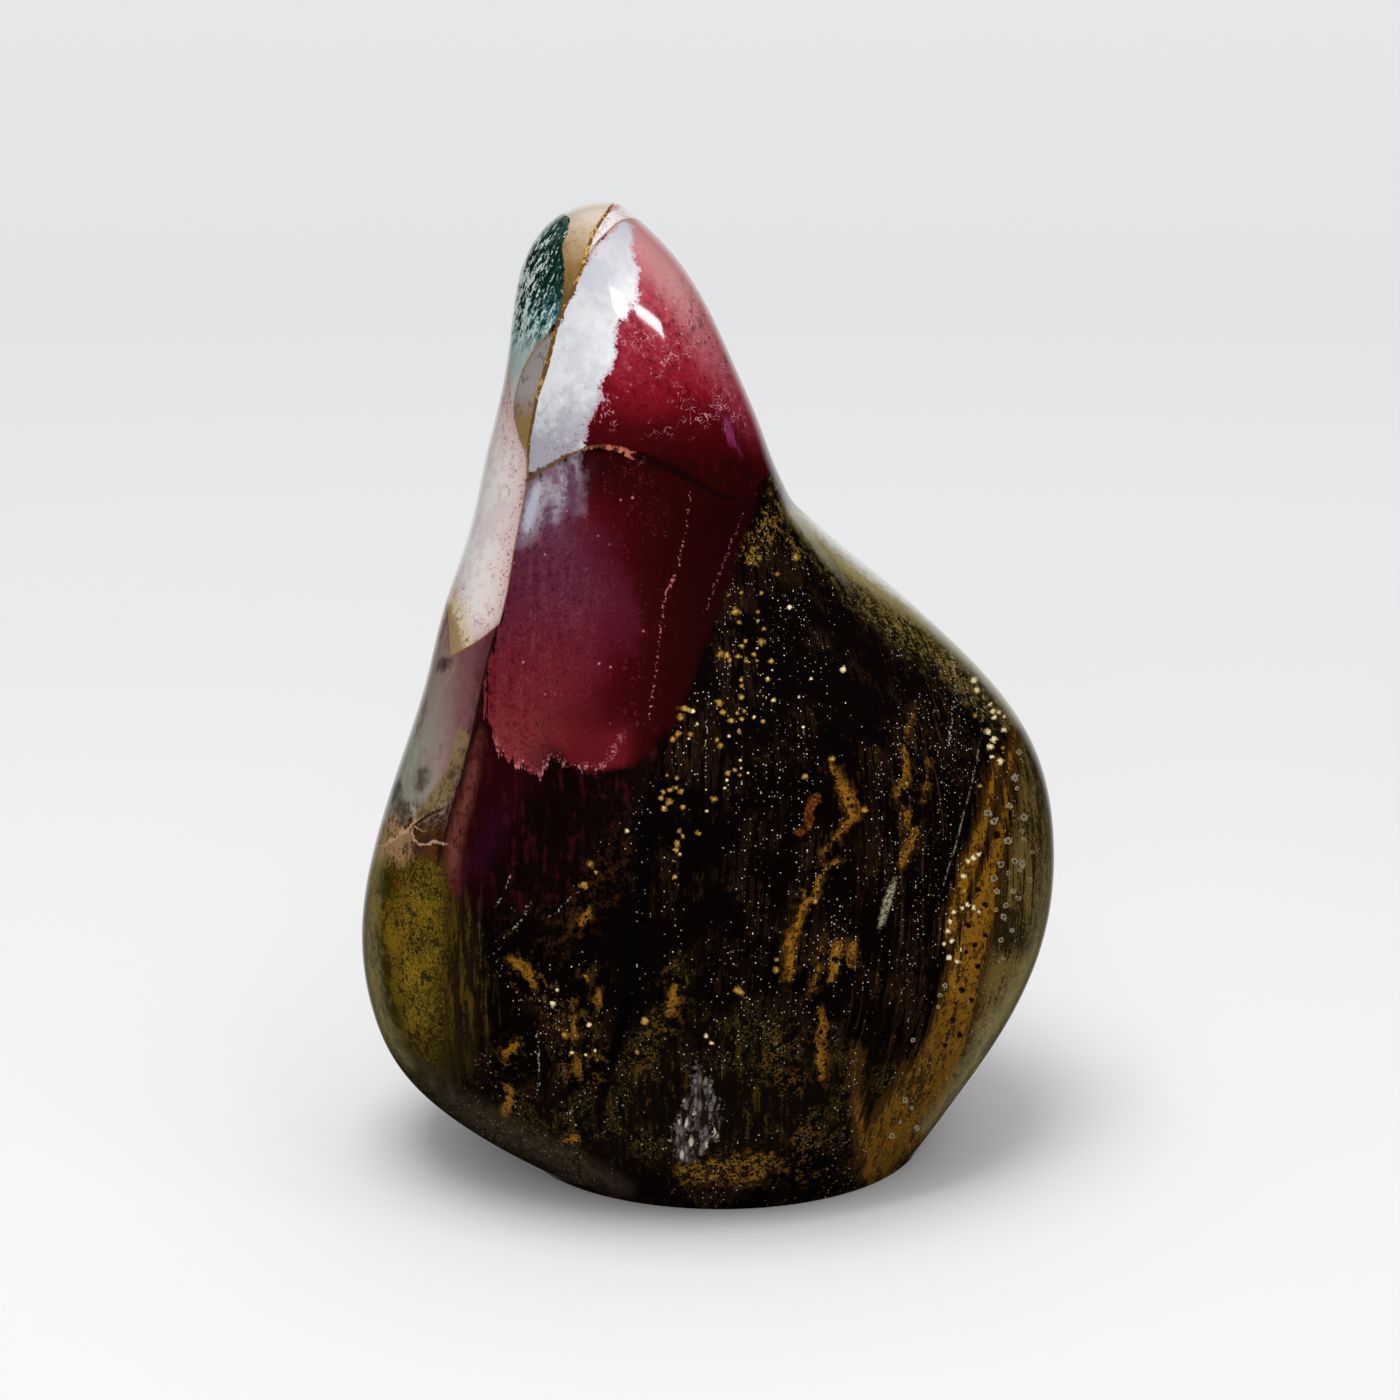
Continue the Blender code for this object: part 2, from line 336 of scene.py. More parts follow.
# Streaks and bands, each through points of x, y and half a width.
STREAKS = {
    "ochre_streaks": (
        ((829, 764, 2), (836, 776, 3.5), (841, 786, 4), (848, 795, 7), (852, 807, 8), (854, 814, 6),
         (850, 821, 3), (841, 831, 2.5), (833, 842, 2), (822, 852, 2)),
        ((836, 861, 3), (828, 866, 2), (821, 873, 2), (817, 884, 2.5), (814, 893, 3), (808, 900, 4),
         (801, 908, 3), (800, 920, 3), (794, 933, 5), (789, 943, 6), (786, 948, 3)),
        ((791, 951, 4), (791, 961, 5), (789, 972, 4), (787, 984, 2)),
        ((802, 892, 2), (808, 900, 3)),
        ((838, 945, 5), (835, 958, 6), (834, 972, 5), (831, 984, 3)),
        ((853, 944, 4), (850, 964, 4)),
        ((824, 938, 1), (818, 958, 2), (817, 976, 2), (812, 992, 1)),
        ((821, 1012, 3), (824, 1026, 5), (820, 1040, 5), (821, 1056, 5), (822, 1077, 3)),
        ((914, 711, 1), (907, 727, 1), (904, 747, 2), (906, 767, 3.5), (907, 781, 3.5), (900, 791, 3),
         (895, 794, 2)),
        ((907, 808, 3), (907, 824, 3.5)),
        ((917, 828, 3), (909, 846, 4.5), (901, 864, 3)),
        ((928, 760, 1), (926, 774, 1.5), (927, 785, 2), (923, 803, 1.5)),
        ((675, 985, 3), (673, 999, 5.5), (670, 1012, 4)),
        ((590, 908, 3), (586, 918, 4), (580, 926, 3.5)),
        ((511, 960, 3), (522, 966, 7), (531, 978, 5), (534, 986, 3)),
        ((598, 992, 3), (599, 1003, 5)),
        ((574, 1018, 3), (574, 1035, 4)),
        ((578, 1058, 3), (579, 1070, 4)),
        ((505, 1054, 4), (514, 1046, 5)),
        ((508, 1088, 4), (510, 1100, 5), (505, 1112, 4)),
        ((566, 1142, 3), (576, 1138, 4)),
        ((586, 972, 3), (587, 982, 3)),
    ),
    "ochre_strands": (
        ((1018, 722, 2.5), (1014, 744, 3), (1010, 762, 3.2), (1007, 788, 3.5), (1003, 822, 4.5),
         (998, 848, 6), (989, 874, 9), (984, 900, 11), (975, 935, 15), (965, 975, 16), (955, 1015, 17),
         (944, 1050, 19), (930, 1080, 24), (912, 1110, 27), (892, 1145, 24), (876, 1172, 14)),
        ((996, 764, 3), (991, 790, 4), (986, 815, 4), (978, 842, 6), (968, 868, 7), (957, 905, 7),
         (950, 935, 6)),
        ((856, 1050, 2), (854, 1080, 3), (857, 1108, 4), (861, 1132, 4), (867, 1152, 5), (877, 1170, 6)),
    ),
    "low_ochre": (((686, 1172, 8), (706, 1170, 10), (730, 1170, 12), (752, 1166, 14), (768, 1164, 10)),),
    "fine_ochre": (
        ((523, 968, 12), (545, 990, 15), (572, 1022, 20), (582, 1064, 22)),
        ((511, 1045, 8), (508, 1080, 7), (507, 1112, 7)),
        ((680, 960, 9), (668, 1020, 10), (645, 1056, 14)),
        ((770, 1040, 14), (790, 1080, 14)),
        ((810, 1120, 12), (800, 1170, 14)),
    ),
    "olive_ground": (
        ((480, 1110, 30), (560, 1140, 50), (700, 1120, 70), (830, 1090, 70), (900, 1130, 50)),
        ((690, 960, 18), (655, 1020, 22), (650, 1080, 40)),
        ((690, 1010, 20), (760, 1050, 40)),
    ),
    "banded_ground": (((950, 680, 20), (925, 780, 34), (905, 900, 44), (895, 1000, 48), (880, 1090, 44)),),
    "rust_ground": (((622, 800, 14), (608, 850, 26), (590, 900, 28), (556, 940, 18)),),
    "speckled": (
        ((780, 745, 34), (776, 850, 34)),
        ((832, 870, 26), (826, 1000, 26)),
        ((950, 690, 24), (930, 790, 40), (905, 930, 34)),
        ((498, 960, 12), (516, 1000, 14)),
        ((720, 700, 30), (800, 640, 30)),
    ),
    "gold_ground": (
        ((776, 478, 4), (778, 508, 7), (764, 530, 12), (752, 552, 12)),
        ((790, 540, 4), (797, 560, 4)),
    ),
    "shoulder_olive": (
        ((815, 545, 8), (845, 566, 22), (885, 600, 26), (925, 635, 26), (965, 675, 20), (1005, 720, 12)),
    ),
    "right_olive": (
        ((1030, 745, 12), (1042, 800, 22), (1038, 860, 28), (1024, 920, 28), (1002, 980, 26),
         (978, 1040, 22), (950, 1090, 14)),
    ),
    # Painted reflection: the grey-brown band where the lower left rim mirrors the white floor.
    "floor_reflection_rim": (((396, 1050, 8), (440, 1092, 14), (500, 1128, 15), (570, 1164, 15), (625, 1190, 10)),),
    # A painted sheen along the left and right rims, partly the stone's own pale yellowish edge.
    "side_rim_sheen": (
        ((384, 836, 3), (372, 880, 7), (366, 940, 9), (374, 1000, 9), (392, 1042, 5), (410, 1066, 1)),
        ((1030, 732, 3), (1046, 770, 5), (1053, 810, 6), (1054, 850, 7), (1048, 910, 9), (1030, 970, 11),
         (998, 1020, 11), (960, 1085, 9), (925, 1130, 5)),
    ),
    # The painted sheen on the shoulder, palest along its outline, partly the stone's own milky edge.
    "shoulder_sheen": (
        ((797, 512, 7), (826, 532, 18), (865, 560, 21), (905, 592, 18), (950, 630, 11), (985, 668, 6),
         (1020, 718, 5)),
    ),
    "honey": (
        ((430, 575, 8), (440, 595, 16), (447, 622, 20), (456, 650, 19)),
        ((450, 655, 6), (472, 644, 5)),
    ),
    "black_streaks": (
        ((652, 770, 5), (648, 860, 8), (636, 940, 10), (630, 1000, 9), (614, 1054, 5), (601, 1098, 5),
         (598, 1130, 3)),
        ((487, 905, 4), (487, 960, 5), (488, 1010, 6)),
    ),
    "rusty_moss": (((398, 876, 8), (412, 892, 10), (408, 925, 12), (396, 950, 8)),),
    "salmon": (
        ((480, 732, 2), (474, 760, 6), (469, 785, 8), (461, 812, 9), (454, 840, 9), (451, 870, 8),
         (456, 895, 4)),
    ),
    "low_purple": (((498, 812, 8), (490, 845, 12), (476, 868, 8)),),
    "lavender_stain": (
        ((566, 462, 3), (573, 480, 6), (571, 505, 5), (566, 522, 3)),
        ((552, 500, 2), (547, 520, 3)),
    ),
    "lavender_ice": (((538, 486, 5), (531, 508, 7), (527, 528, 5)),),
    "rust_blotch": (((815, 800, 6), (806, 812, 4), (812, 825, 5), (799, 832, 4)),),
    "dark_smudges": (
        ((625, 552, 2), (621, 562, 3)),
        ((610, 584, 2.5), (604, 602, 3)),
        ((444, 664, 5), (440, 668, 4)),
        ((397, 786, 5), (394, 800, 4)),
        ((402, 806, 6), (404, 822, 5)),
        ((424, 772, 5), (420, 786, 5)),
        ((432, 838, 6), (418, 846, 5)),
    ),
    "grey_glint": (((895, 880, 3), (888, 900, 4.5), (880, 926, 3)),),
}

# Veins, cracks and threads, each through points of x, y and half a width.
THREADS = {
    "gold_vein": (
        ((613, 204, 1.5), (603, 218, 1.5), (593, 234, 1.8), (587, 251, 2), (584, 265, 2.2), (577, 280, 2),
         (570, 297, 1.8), (561, 315, 1.8), (555, 332, 2), (549.5, 355, 2.2), (543.6, 376, 2.4),
         (536, 399, 1.8), (533, 419, 1.6), (529, 439, 1.6), (527.5, 458, 1.4), (528, 478, 1.2)),
    ),
    "tan_threads": (
        ((587, 257, 1), (597, 242, 1.1), (609, 231, 1.2), (618, 222, 1.2), (632, 218, 1.1), (644, 223, 0.8)),
        ((553, 333, 1.2), (539, 344, 1.6), (529, 358, 1.4), (521, 376, 1), (515, 395, 0.8), (514, 412, 0.8),
         (519, 437, 1.0), (527, 456, 1.2), (526.5, 484, 0.8), (521, 513, 0.6), (514, 549, 0.6),
         (507, 592, 0.7), (499.5, 624, 0.7), (478, 641, 0.7), (451, 656, 0.8)),
        ((461, 726, 1), (455, 743, 1), (450, 763, 1.1), (440, 780, 1.2), (427, 799, 1.1), (413, 820, 1)),
    ),
    "cross_crack": (
        ((527, 482, 1.6), (535, 474, 2), (545, 468, 2.2), (560, 460, 2.2), (575, 452, 1.8), (590, 447, 2),
         (615, 447, 3), (640, 457, 4.5), (665, 466, 5), (690, 478, 4), (710, 490, 3.5), (734, 500, 2.5)),
    ),
    "dark_threads": (
        ((497, 628, 1), (494, 639, 1.2), (487, 665, 1.2), (480, 696, 1.2), (475, 724, 1.2), (468, 752, 1.3),
         (462, 777, 1.4), (454, 799, 1.4), (448, 824, 1.4), (441, 850, 1.4), (437, 866, 1)),
        ((444, 808, 1.4), (427, 816, 1.4), (416, 824, 1)),
    ),
    "pale_threads": (
        ((457, 662, 0.9), (451, 676, 0.8), (447, 682, 0.9), (440, 696, 1), (436, 718, 0.9), (429, 738, 0.9),
         (420, 749, 0.9), (413, 763, 0.9), (411, 771, 1.2), (400, 771, 1)),
        ((980, 672, 0.7), (983, 684, 0.8), (984, 713, 0.8), (981, 736, 0.8), (976, 765, 0.8),
         (970, 793, 0.8), (964, 812, 0.8), (957, 843, 0.8), (948, 869, 0.8), (938, 905, 0.6)),
    ),
    "peach_crack": (
        ((380, 846, 1), (387, 844, 1.6), (396, 837, 1.8), (406, 831, 1.8), (412, 833, 1.5), (416, 843, 1.2),
         (427, 845, 1.4), (436, 841, 1.2), (444, 844, 1)),
        ((400, 834, 1.2), (408, 827, 1.3), (416, 821, 1)),
    ),
    "dotted_threads": (
        ((689, 488, 0.7), (685, 538, 0.9), (678, 563, 1.2), (674, 578, 1.2), (665, 596, 1.1),
         (661, 621, 1.2), (658, 653, 1.2), (654, 682, 1.0), (649, 720, 0.8)),
        ((742, 516, 0.6), (730, 545, 0.7), (723, 567, 0.7), (715, 586, 0.6), (705, 610, 0.5)),
        ((534, 900, 0.5), (523, 917, 0.6), (511, 932, 0.5)),
        ((511, 875, 0.4), (505, 890, 0.5), (496, 905, 0.4)),
        ((576, 894, 0.6), (560, 908, 0.7), (548, 919, 0.6)),
        ((950, 648, 0.8), (954, 661, 0.9), (955, 682, 1.0), (954, 702, 1.0), (950, 726, 0.9),
         (949, 746, 0.7)),
        ((537, 1028, 0.5), (539, 1064, 0.6), (537, 1096, 0.4)),
        ((836, 931, 0.6), (832, 944, 0.7), (828, 952, 0.6), (825, 964, 0.5)),
        ((709, 697, 0.4), (707, 730, 0.5), (706, 764, 0.4)),
    ),
}

# Orbs and beads as x, y and radius.
BEADS = {
    "gold": (
        (741, 593, 2), (729, 595, 2.2), (761, 593, 2), (736, 611, 4.5), (758, 612, 2.2), (739, 622, 2.4),
        (758, 621, 2), (764, 629, 2.2), (742, 646, 2.6), (746, 641, 2), (762, 642, 4), (720, 654, 3.6),
        (727, 655, 3.2), (738, 656, 2.4), (746, 659, 2), (754, 654, 2.4), (730, 660, 2.5), (747, 661, 2.5),
        (757, 661, 2.2), (771, 661, 2.5), (741, 680, 2.2), (742, 686, 2.5), (741, 697, 2.8), (768, 679, 2.8),
        (719, 703, 3.8), (723, 712, 3), (731, 721, 3), (737, 713, 2.5), (744, 711, 2.2), (742, 719, 2.2),
        (763, 721, 2.3), (739, 732, 2.3), (717, 740, 2.5), (721, 746, 3.3), (675, 708, 3.3), (684, 708, 3.2),
        (689, 710, 2.6), (680, 717, 4.2), (678, 734, 3.2), (690, 734, 3), (673, 739, 3.2), (735, 770, 2.5),
        (728, 773, 2.6), (740, 775, 2), (714, 799, 3.3), (698, 833, 2.7), (677, 778, 2.2), (667, 775, 1.8),
        (676, 788, 2.6), (670, 790, 3), (663, 792, 2.8), (661, 798, 2.6), (681, 791, 3), (669, 802, 3.8),
        (664, 809, 3.3), (683, 807, 2.6), (679, 831, 2.6), (683, 836, 2.1), (678, 844, 3.4), (676, 850, 3),
        (680, 855, 2.3), (675, 861, 2), (675, 877, 2.3), (805, 776, 3), (865, 810, 3.5), (645, 1021, 4),
        (590, 864, 4), (583, 885, 4.5), (596, 872, 2.4), (796, 557, 3.5), (777, 574, 2.5), (832, 759, 3.5),
        (815, 901, 3), (565, 1035, 3.6), (741, 992, 3.5), (777, 960, 2.5), (776, 970, 2.8), (738, 990, 4),
        (637, 1052, 2.2), (986, 731, 2.5), (975, 715, 2.4), (1003, 748, 2), (964, 891, 3), (980, 786, 2.4),
    ),
    # Pale crystal orbs; their bright hearts are partly painted glints.
    "cream": (
        (790, 607, 2.6), (768, 678, 1.6), (773, 700, 2.3), (693, 711, 2.4), (697, 724, 1.8), (689, 739, 1.6),
        (729, 736, 1.6), (754, 717, 1.8), (740, 760, 1.5), (748, 773, 1.4), (741, 768, 1.2), (727, 780, 1.4),
        (725, 788, 1.6), (707, 811, 1.7), (843, 669, 3.2), (811, 679, 2), (799, 697, 1.6), (803, 727, 1.6),
        (627, 831, 2.4), (553, 1004, 3.2), (557, 990, 2), (589, 1025, 2.4), (572, 1053, 2.2),
        (586, 1055, 1.8), (595, 1051, 1.8), (706, 1036, 2.4), (712, 1043, 2.4), (974, 680, 3.4),
        (977, 690, 3), (990, 704, 2.4), (993, 711, 3), (999, 712, 2.6), (994, 717, 2.6), (1004, 716, 2.2),
        (988, 732, 3.4), (994, 739, 3.8), (1004, 730, 3), (990, 747, 3.6), (992, 757, 2.6), (1000, 761, 3.6),
        (968, 861, 2.6), (973, 858, 3), (979, 854, 2.6), (963, 876, 3), (962, 908, 2.6), (968, 905, 3),
        (974, 908, 2.8), (950, 921, 2.8), (948, 931, 3), (952, 941, 2.6), (949, 958, 3), (957, 962, 3),
        (961, 950, 2.2), (944, 944, 2), (954, 912, 2.6), (979, 912, 2.4), (664, 808, 1.4), (680, 854, 1.4),
        (772, 670, 1.2), (757, 648, 1.2),
    ),
    "grey": (
        (1015, 778, 3.8), (1019, 752, 2.6), (1010, 806, 2.8), (1024, 817, 3.6), (988, 813, 3.6),
        (994, 821, 3.6), (1008, 841, 3.6), (1024, 840, 2.4), (1022, 831, 2.2), (1001, 864, 3.2),
        (1015, 861, 3.2), (1022, 864, 3.4), (1020, 870, 2), (994, 878, 3.4), (997, 891, 3), (1017, 788, 2),
        (1013, 891, 2.6), (1006, 905, 3), (1018, 898, 2.4), (1004, 917, 3.4), (996, 910, 2),
        (1012, 930, 2.4), (1001, 940, 2.6), (1008, 873, 2), (1030, 880, 2.4), (1033, 852, 2), (1003, 958, 2),
        (945, 985, 2.4), (940, 995, 2.2), (938, 1007, 2), (913, 1040, 2), (905, 1100, 2.4), (912, 1108, 2),
        (917, 1128, 2.6), (900, 1122, 2), (892, 1136, 2.4),
    ),
    "dark": (
        (997, 835, 3.6), (987, 843, 3), (983, 856, 2.6), (978, 890, 3), (985, 905, 3), (968, 925, 3),
        (975, 945, 2.6), (985, 935, 2.4), (966, 952, 2.4), (978, 966, 3), (962, 990, 3), (972, 1000, 2.6),
        (953, 1020, 2.8), (835, 960, 3.4), (821, 1032, 2.6), (824, 1044, 2), (852, 806, 2), (848, 799, 1.8),
        (586, 917, 1.6), (583, 923, 1.4), (960, 1035, 3), (945, 1045, 2.4), (968, 1060, 2.4),
        (955, 1075, 2.4),
    ),
}

# How much room a layer of beads leaves around each, how far past a bead its offsets are kept, and the mark
# that lies beyond.
BEAD_ROOM = 13
BEAD_REACH = 4
FAR_MARK = 9

# How far past its ends, and past its sides, a thread fades, in pixels.
THREAD_ENDS = (0, 7)
THREAD_SIDES = (6, 12)

# How far the surface is turned away where its drift starts and where it is full, as the share of its normal
# that points away from the camera.
HIDDEN = (0.0, 0.7)


def chaikin(line, closed):
    """The line with its corners cut: each side keeps its middle half."""
    points = np.array(line, dtype=float)
    ahead = np.roll(points, -1, axis=0) if closed else points[1:]
    here = points if closed else points[:-1]
    cut = np.stack([0.75 * here + 0.25 * ahead, 0.25 * here + 0.75 * ahead], axis=1)
    cut = cut.reshape(-1, points.shape[1])
    return cut if closed else np.vstack([points[:1], cut, points[-1:]])


def to_segments(spots, starts, ends):
    """For every spot and every segment: their distance, and how far along the segment it is reached.

    The nearest place on a segment is the spot's share of it, held between 0 and 1.
    """
    run = ends - starts
    offset = spots[:, None] - starts
    length = np.maximum((run**2).sum(axis=-1), 1e-9)
    share = np.clip((offset * run).sum(axis=-1) / length, 0, 1)
    away = offset - share[..., None] * run
    return np.sqrt((away**2).sum(axis=-1)), share


def to_line(spots, starts, ends):
    """For every spot: its side of the nearest segment, its distance, that segment's number and its share.

    The side is 1 to the right of a line that runs down and -1 to its left.
    """
    distance, share = to_segments(spots, starts, ends)
    nearest = distance.argmin(axis=1)
    pick = np.arange(len(spots)), nearest
    run, offset = (ends - starts)[nearest], spots - starts[nearest]
    side = np.sign(run[:, 1] * offset[:, 0] - run[:, 0] * offset[:, 1])
    return side, distance[pick], nearest, share[pick]


def inside(spots, outline, soft_corners=True):
    """How deep each spot lies inside a closed outline, in millimetres, and below zero outside it.

    It is the distance to the nearest side, with its sign from how many sides a ray from the spot crosses.
    """
    corners = chaikin(outline, True) if soft_corners else np.array(outline, dtype=float)
    ends = np.roll(corners, -1, axis=0)
    distance, _ = to_segments(spots, corners, ends)
    x, y = spots[:, :1], spots[:, 1:]
    spans = (corners[:, 1] > y) != (ends[:, 1] > y)
    rise = np.where(ends[:, 1] == corners[:, 1], 1, ends[:, 1] - corners[:, 1])
    crossing = corners[:, 0] + (y - corners[:, 1]) / rise * (ends[:, 0] - corners[:, 0])
    odd = (spans & (x < crossing)).sum(axis=1) % 2
    return np.where(odd, 1, -1) * distance.min(axis=1) / PIXELS_PER_MM


def beside(spots, thread):
    """How far each spot lies to the right of a thread as it runs down, its half width there, and a window.

    All are in millimetres but the window, which is 1 on the thread and falls to 0 past its ends and sides.
    """
    corners = chaikin(thread, False)
    starts, ends = corners[:-1, :2], corners[1:, :2]
    side, away, nearest, share = to_line(spots, starts, ends)
    half = corners[nearest, 2] + share * (corners[nearest + 1, 2] - corners[nearest, 2])
    first, last = starts[0] - ends[0], ends[-1] - starts[-1]
    past_start = (spots - starts[0]) @ first / np.linalg.norm(first)
    past_end = (spots - ends[-1]) @ last / np.linalg.norm(last)
    beyond = np.where(nearest == 0, past_start, np.where(nearest == len(starts) - 1, past_end, 0))
    window = (1 - smooth_step(*THREAD_ENDS, beyond)) * (1 - smooth_step(*THREAD_SIDES, away - half))
    return np.column_stack([side * away / PIXELS_PER_MM, half / PIXELS_PER_MM, window])


def nearest_thread(spots, threads):
    """What beside() tells of the thread that each spot lies nearest to."""
    told = np.stack([beside(spots, thread) for thread in threads])
    pick = np.abs(told[..., 0]).argmin(axis=0)
    return told[pick, np.arange(len(spots))]


def streaked(spots, streaks):
    """How deep each spot lies inside the nearest streak, in millimetres: half its width less the distance."""
    depth = np.full(len(spots), -np.inf)
    for streak in streaks:
        points = chaikin(streak, False)
        distance, share = to_segments(spots, points[:-1, :2], points[1:, :2])
        half = points[:-1, 2] + share * (points[1:, 2] - points[:-1, 2])
        depth = np.maximum(depth, (half - distance).max(axis=1))
    return depth / PIXELS_PER_MM


def bead_layers(kind):
    """The beads of one kind in layers in which none comes near another."""
    layers = []
    for x, y, radius in BEADS[kind]:
        for layer in layers:
            if all(math.dist((x, y), other[:2]) > radius + other[2] + BEAD_ROOM for other in layer):
                layer.append((x, y, radius))
                break
        else:
            layers.append([(x, y, radius)])
    return layers


def nearest_bead(spots, beads):
    """Each spot's offset from its nearest bead, counted in its radius, and a mark far from all beads."""
    beads = np.array(beads, dtype=float)
    offset = spots[:, None] - beads[:, :2]
    away = np.sqrt((offset**2).sum(axis=-1)) - beads[:, 2]
    nearest = away.argmin(axis=1)
    pick = np.arange(len(spots)), nearest
    mark = np.where(away[pick] > BEAD_REACH, FAR_MARK, 0)
    return np.column_stack([offset[pick] / beads[nearest, 2:], mark])


def seen(points):
    """Where the camera sees each point, in pixels from the left and from the top of the view."""
    from_eye = points - VIEW_PLACE
    depth = from_eye @ VIEW_AHEAD
    across = VIEW_SIDE / 2 + VIEW_FOCAL * from_eye[:, 0] / depth
    down = VIEW_SIDE / 2 - VIEW_FOCAL * (from_eye @ VIEW_UP) / depth
    return np.column_stack([across, down])


def spots_on_stone(points, normals):
    """Each point's place in the view of the face. The side that the camera can't see drifts away from it.

    The drift is a sum of slow waves over the stone's height and width, which grows as the surface turns away
    from the camera, so that the back is cut from the same stone without being the front's mirror image.
    """
    toward_eye = VIEW_PLACE - points
    toward_eye /= np.linalg.norm(toward_eye, axis=1)[:, None]
    hidden = smooth_step(*HIDDEN, -(normals * toward_eye).sum(axis=1))
    x, y, z = points.T
    drift_x = 60 * np.sin(z / 17 + 0.8) + 40 * np.sin(z / 7.3 + x / 19) - 50
    drift_y = 70 * np.sin(x / 15 + 1.9) + 35 * np.sin(x / 6.1 - z / 23) + 40
    return seen(points) + hidden[:, None] * np.column_stack([drift_x, drift_y])


def add_field(mesh, name, values):
    """Stores a number or a vector for every vertex, under a name that the material reads."""
    kind = "FLOAT" if values.ndim == 1 else "FLOAT_VECTOR"
    attribute = mesh.attributes.new(name, kind, "POINT")
    attribute.data.foreach_set("value" if values.ndim == 1 else "vector", values.astype(np.float32).ravel())


def add_face_fields(mesh, points):
    """All the fields of the stone's face."""
    normals = np.empty(len(points) * 3)
    mesh.vertices.foreach_get("normal", normals)
    spots = spots_on_stone(points, normals.reshape(-1, 3))
    for name, outline in OUTLINES.items():
        add_field(mesh, name, inside(spots, outline))
    add_field(mesh, "pale_patch", inside(spots, PALE_PATCH, soft_corners=False))
    for name, streaks in STREAKS.items():
        add_field(mesh, name, streaked(spots, streaks))
    for name, threads in THREADS.items():
        add_field(mesh, name, nearest_thread(spots, threads))
    for kind in BEADS:
        for number, layer in enumerate(bead_layers(kind)):
            add_field(mesh, f"{kind}_beads_{number}", nearest_bead(spots, layer))
    add_field(mesh, "view_x", spots[:, 0] / PIXELS_PER_MM)
    add_field(mesh, "view_y", spots[:, 1] / PIXELS_PER_MM)


# The makings of a material

# The near black that all else is painted over.
DARK_BODY = (6, 3, 2)

# How the axes of the stone's thin layers, and of the green cap's bark-like grain, are turned.
LAYERS_TURN = (0.0, 0.14, 0.45)
BARK_TURN = (0.0, 0.48, 0.0)

# The polish, and how strongly the stone bends light.
POLISH = 0.09
STONE_IOR = 1.54

# Between which two places a colour comes in, down the face and across it, in millimetres from the top left of
# the view. With the greater place first it goes out instead.
DOWN = {
    "blush": (48.0, 30.0),
    "shade": (28.0, 36.0),
    "crumbs_top": (31.0, 35.0),
    "crumbs_foot": (49.5, 45.5),
    "chips_foot": (49.5, 44.5),
    "streak_top": (44.0, 46.0),
    "streak_foot": (51.5, 49.0),
    "bark_foot": (40.0, 36.0),
    "frost_and_sheen_foot": (42.0, 34.0),
    "cream_shade": (24.0, 27.0),
    "under_crack": (58.0, 51.5),
    "veil_top": (50.0, 58.0),
    "violet_top": (57.0, 62.0),
    "violet_foot": (79.0, 74.0),
    "rosy_foot": (79.0, 82.5),
    "pink_tips": (80.5, 83.5),
    "pale_dots": (77.0, 80.0),
    "rosy_flank": (86.0, 80.0),
    "tan_foot": (88.5, 92.5),
    "dark_foot": (88.0, 92.0),
    "flank_foot": (96.5, 94.8),
    "strand_stripes": (106.0, 118.0),
    "corner_foot": (112.0, 119.0),
}
ACROSS = {
    "corner_lace": (43.0, 46.0),
    "corner_stripes": (47.5, 50.5),
    "pale_flank": (48.5, 45.5),
    "tan_foot": (44.4, 46.6),
    "milk_edge": (63.5, 65.5),
    "peach_start": (64.0, 66.0),
    "peach_end": (72.0, 69.0),
    "pink_tips": (71.0, 68.0),
    "rosy_foot": (71.5, 68.5),
    "scratches": (77.0, 70.0),
    "pale_dots": (90.0, 95.0),
}

# The same across lines that slant: the share of y that is added to x comes first.
ASLANT = {
    # Where the painted sheen on the crimson's right rim comes in.
    "crimson_rim_sheen": (-0.58, 52.8, 56.5),
    "maroon_shade": (0.4, 90.0, 96.0),
}

# Single places on the face, in millimetres: the veil's waist and the violet line that borders it, the line of
# the bright streak, and the middles of the frost, which is partly a painted streaky reflection, and of the
# cream cap.
VEIL_WAIST_Y = 67.0
VIOLET_X = 69.6
STREAK_X, STREAK_SLOPE = 59.0, 0.46
FROST_AND_SHEEN_X = 59.8
CREAM_X = 64.0

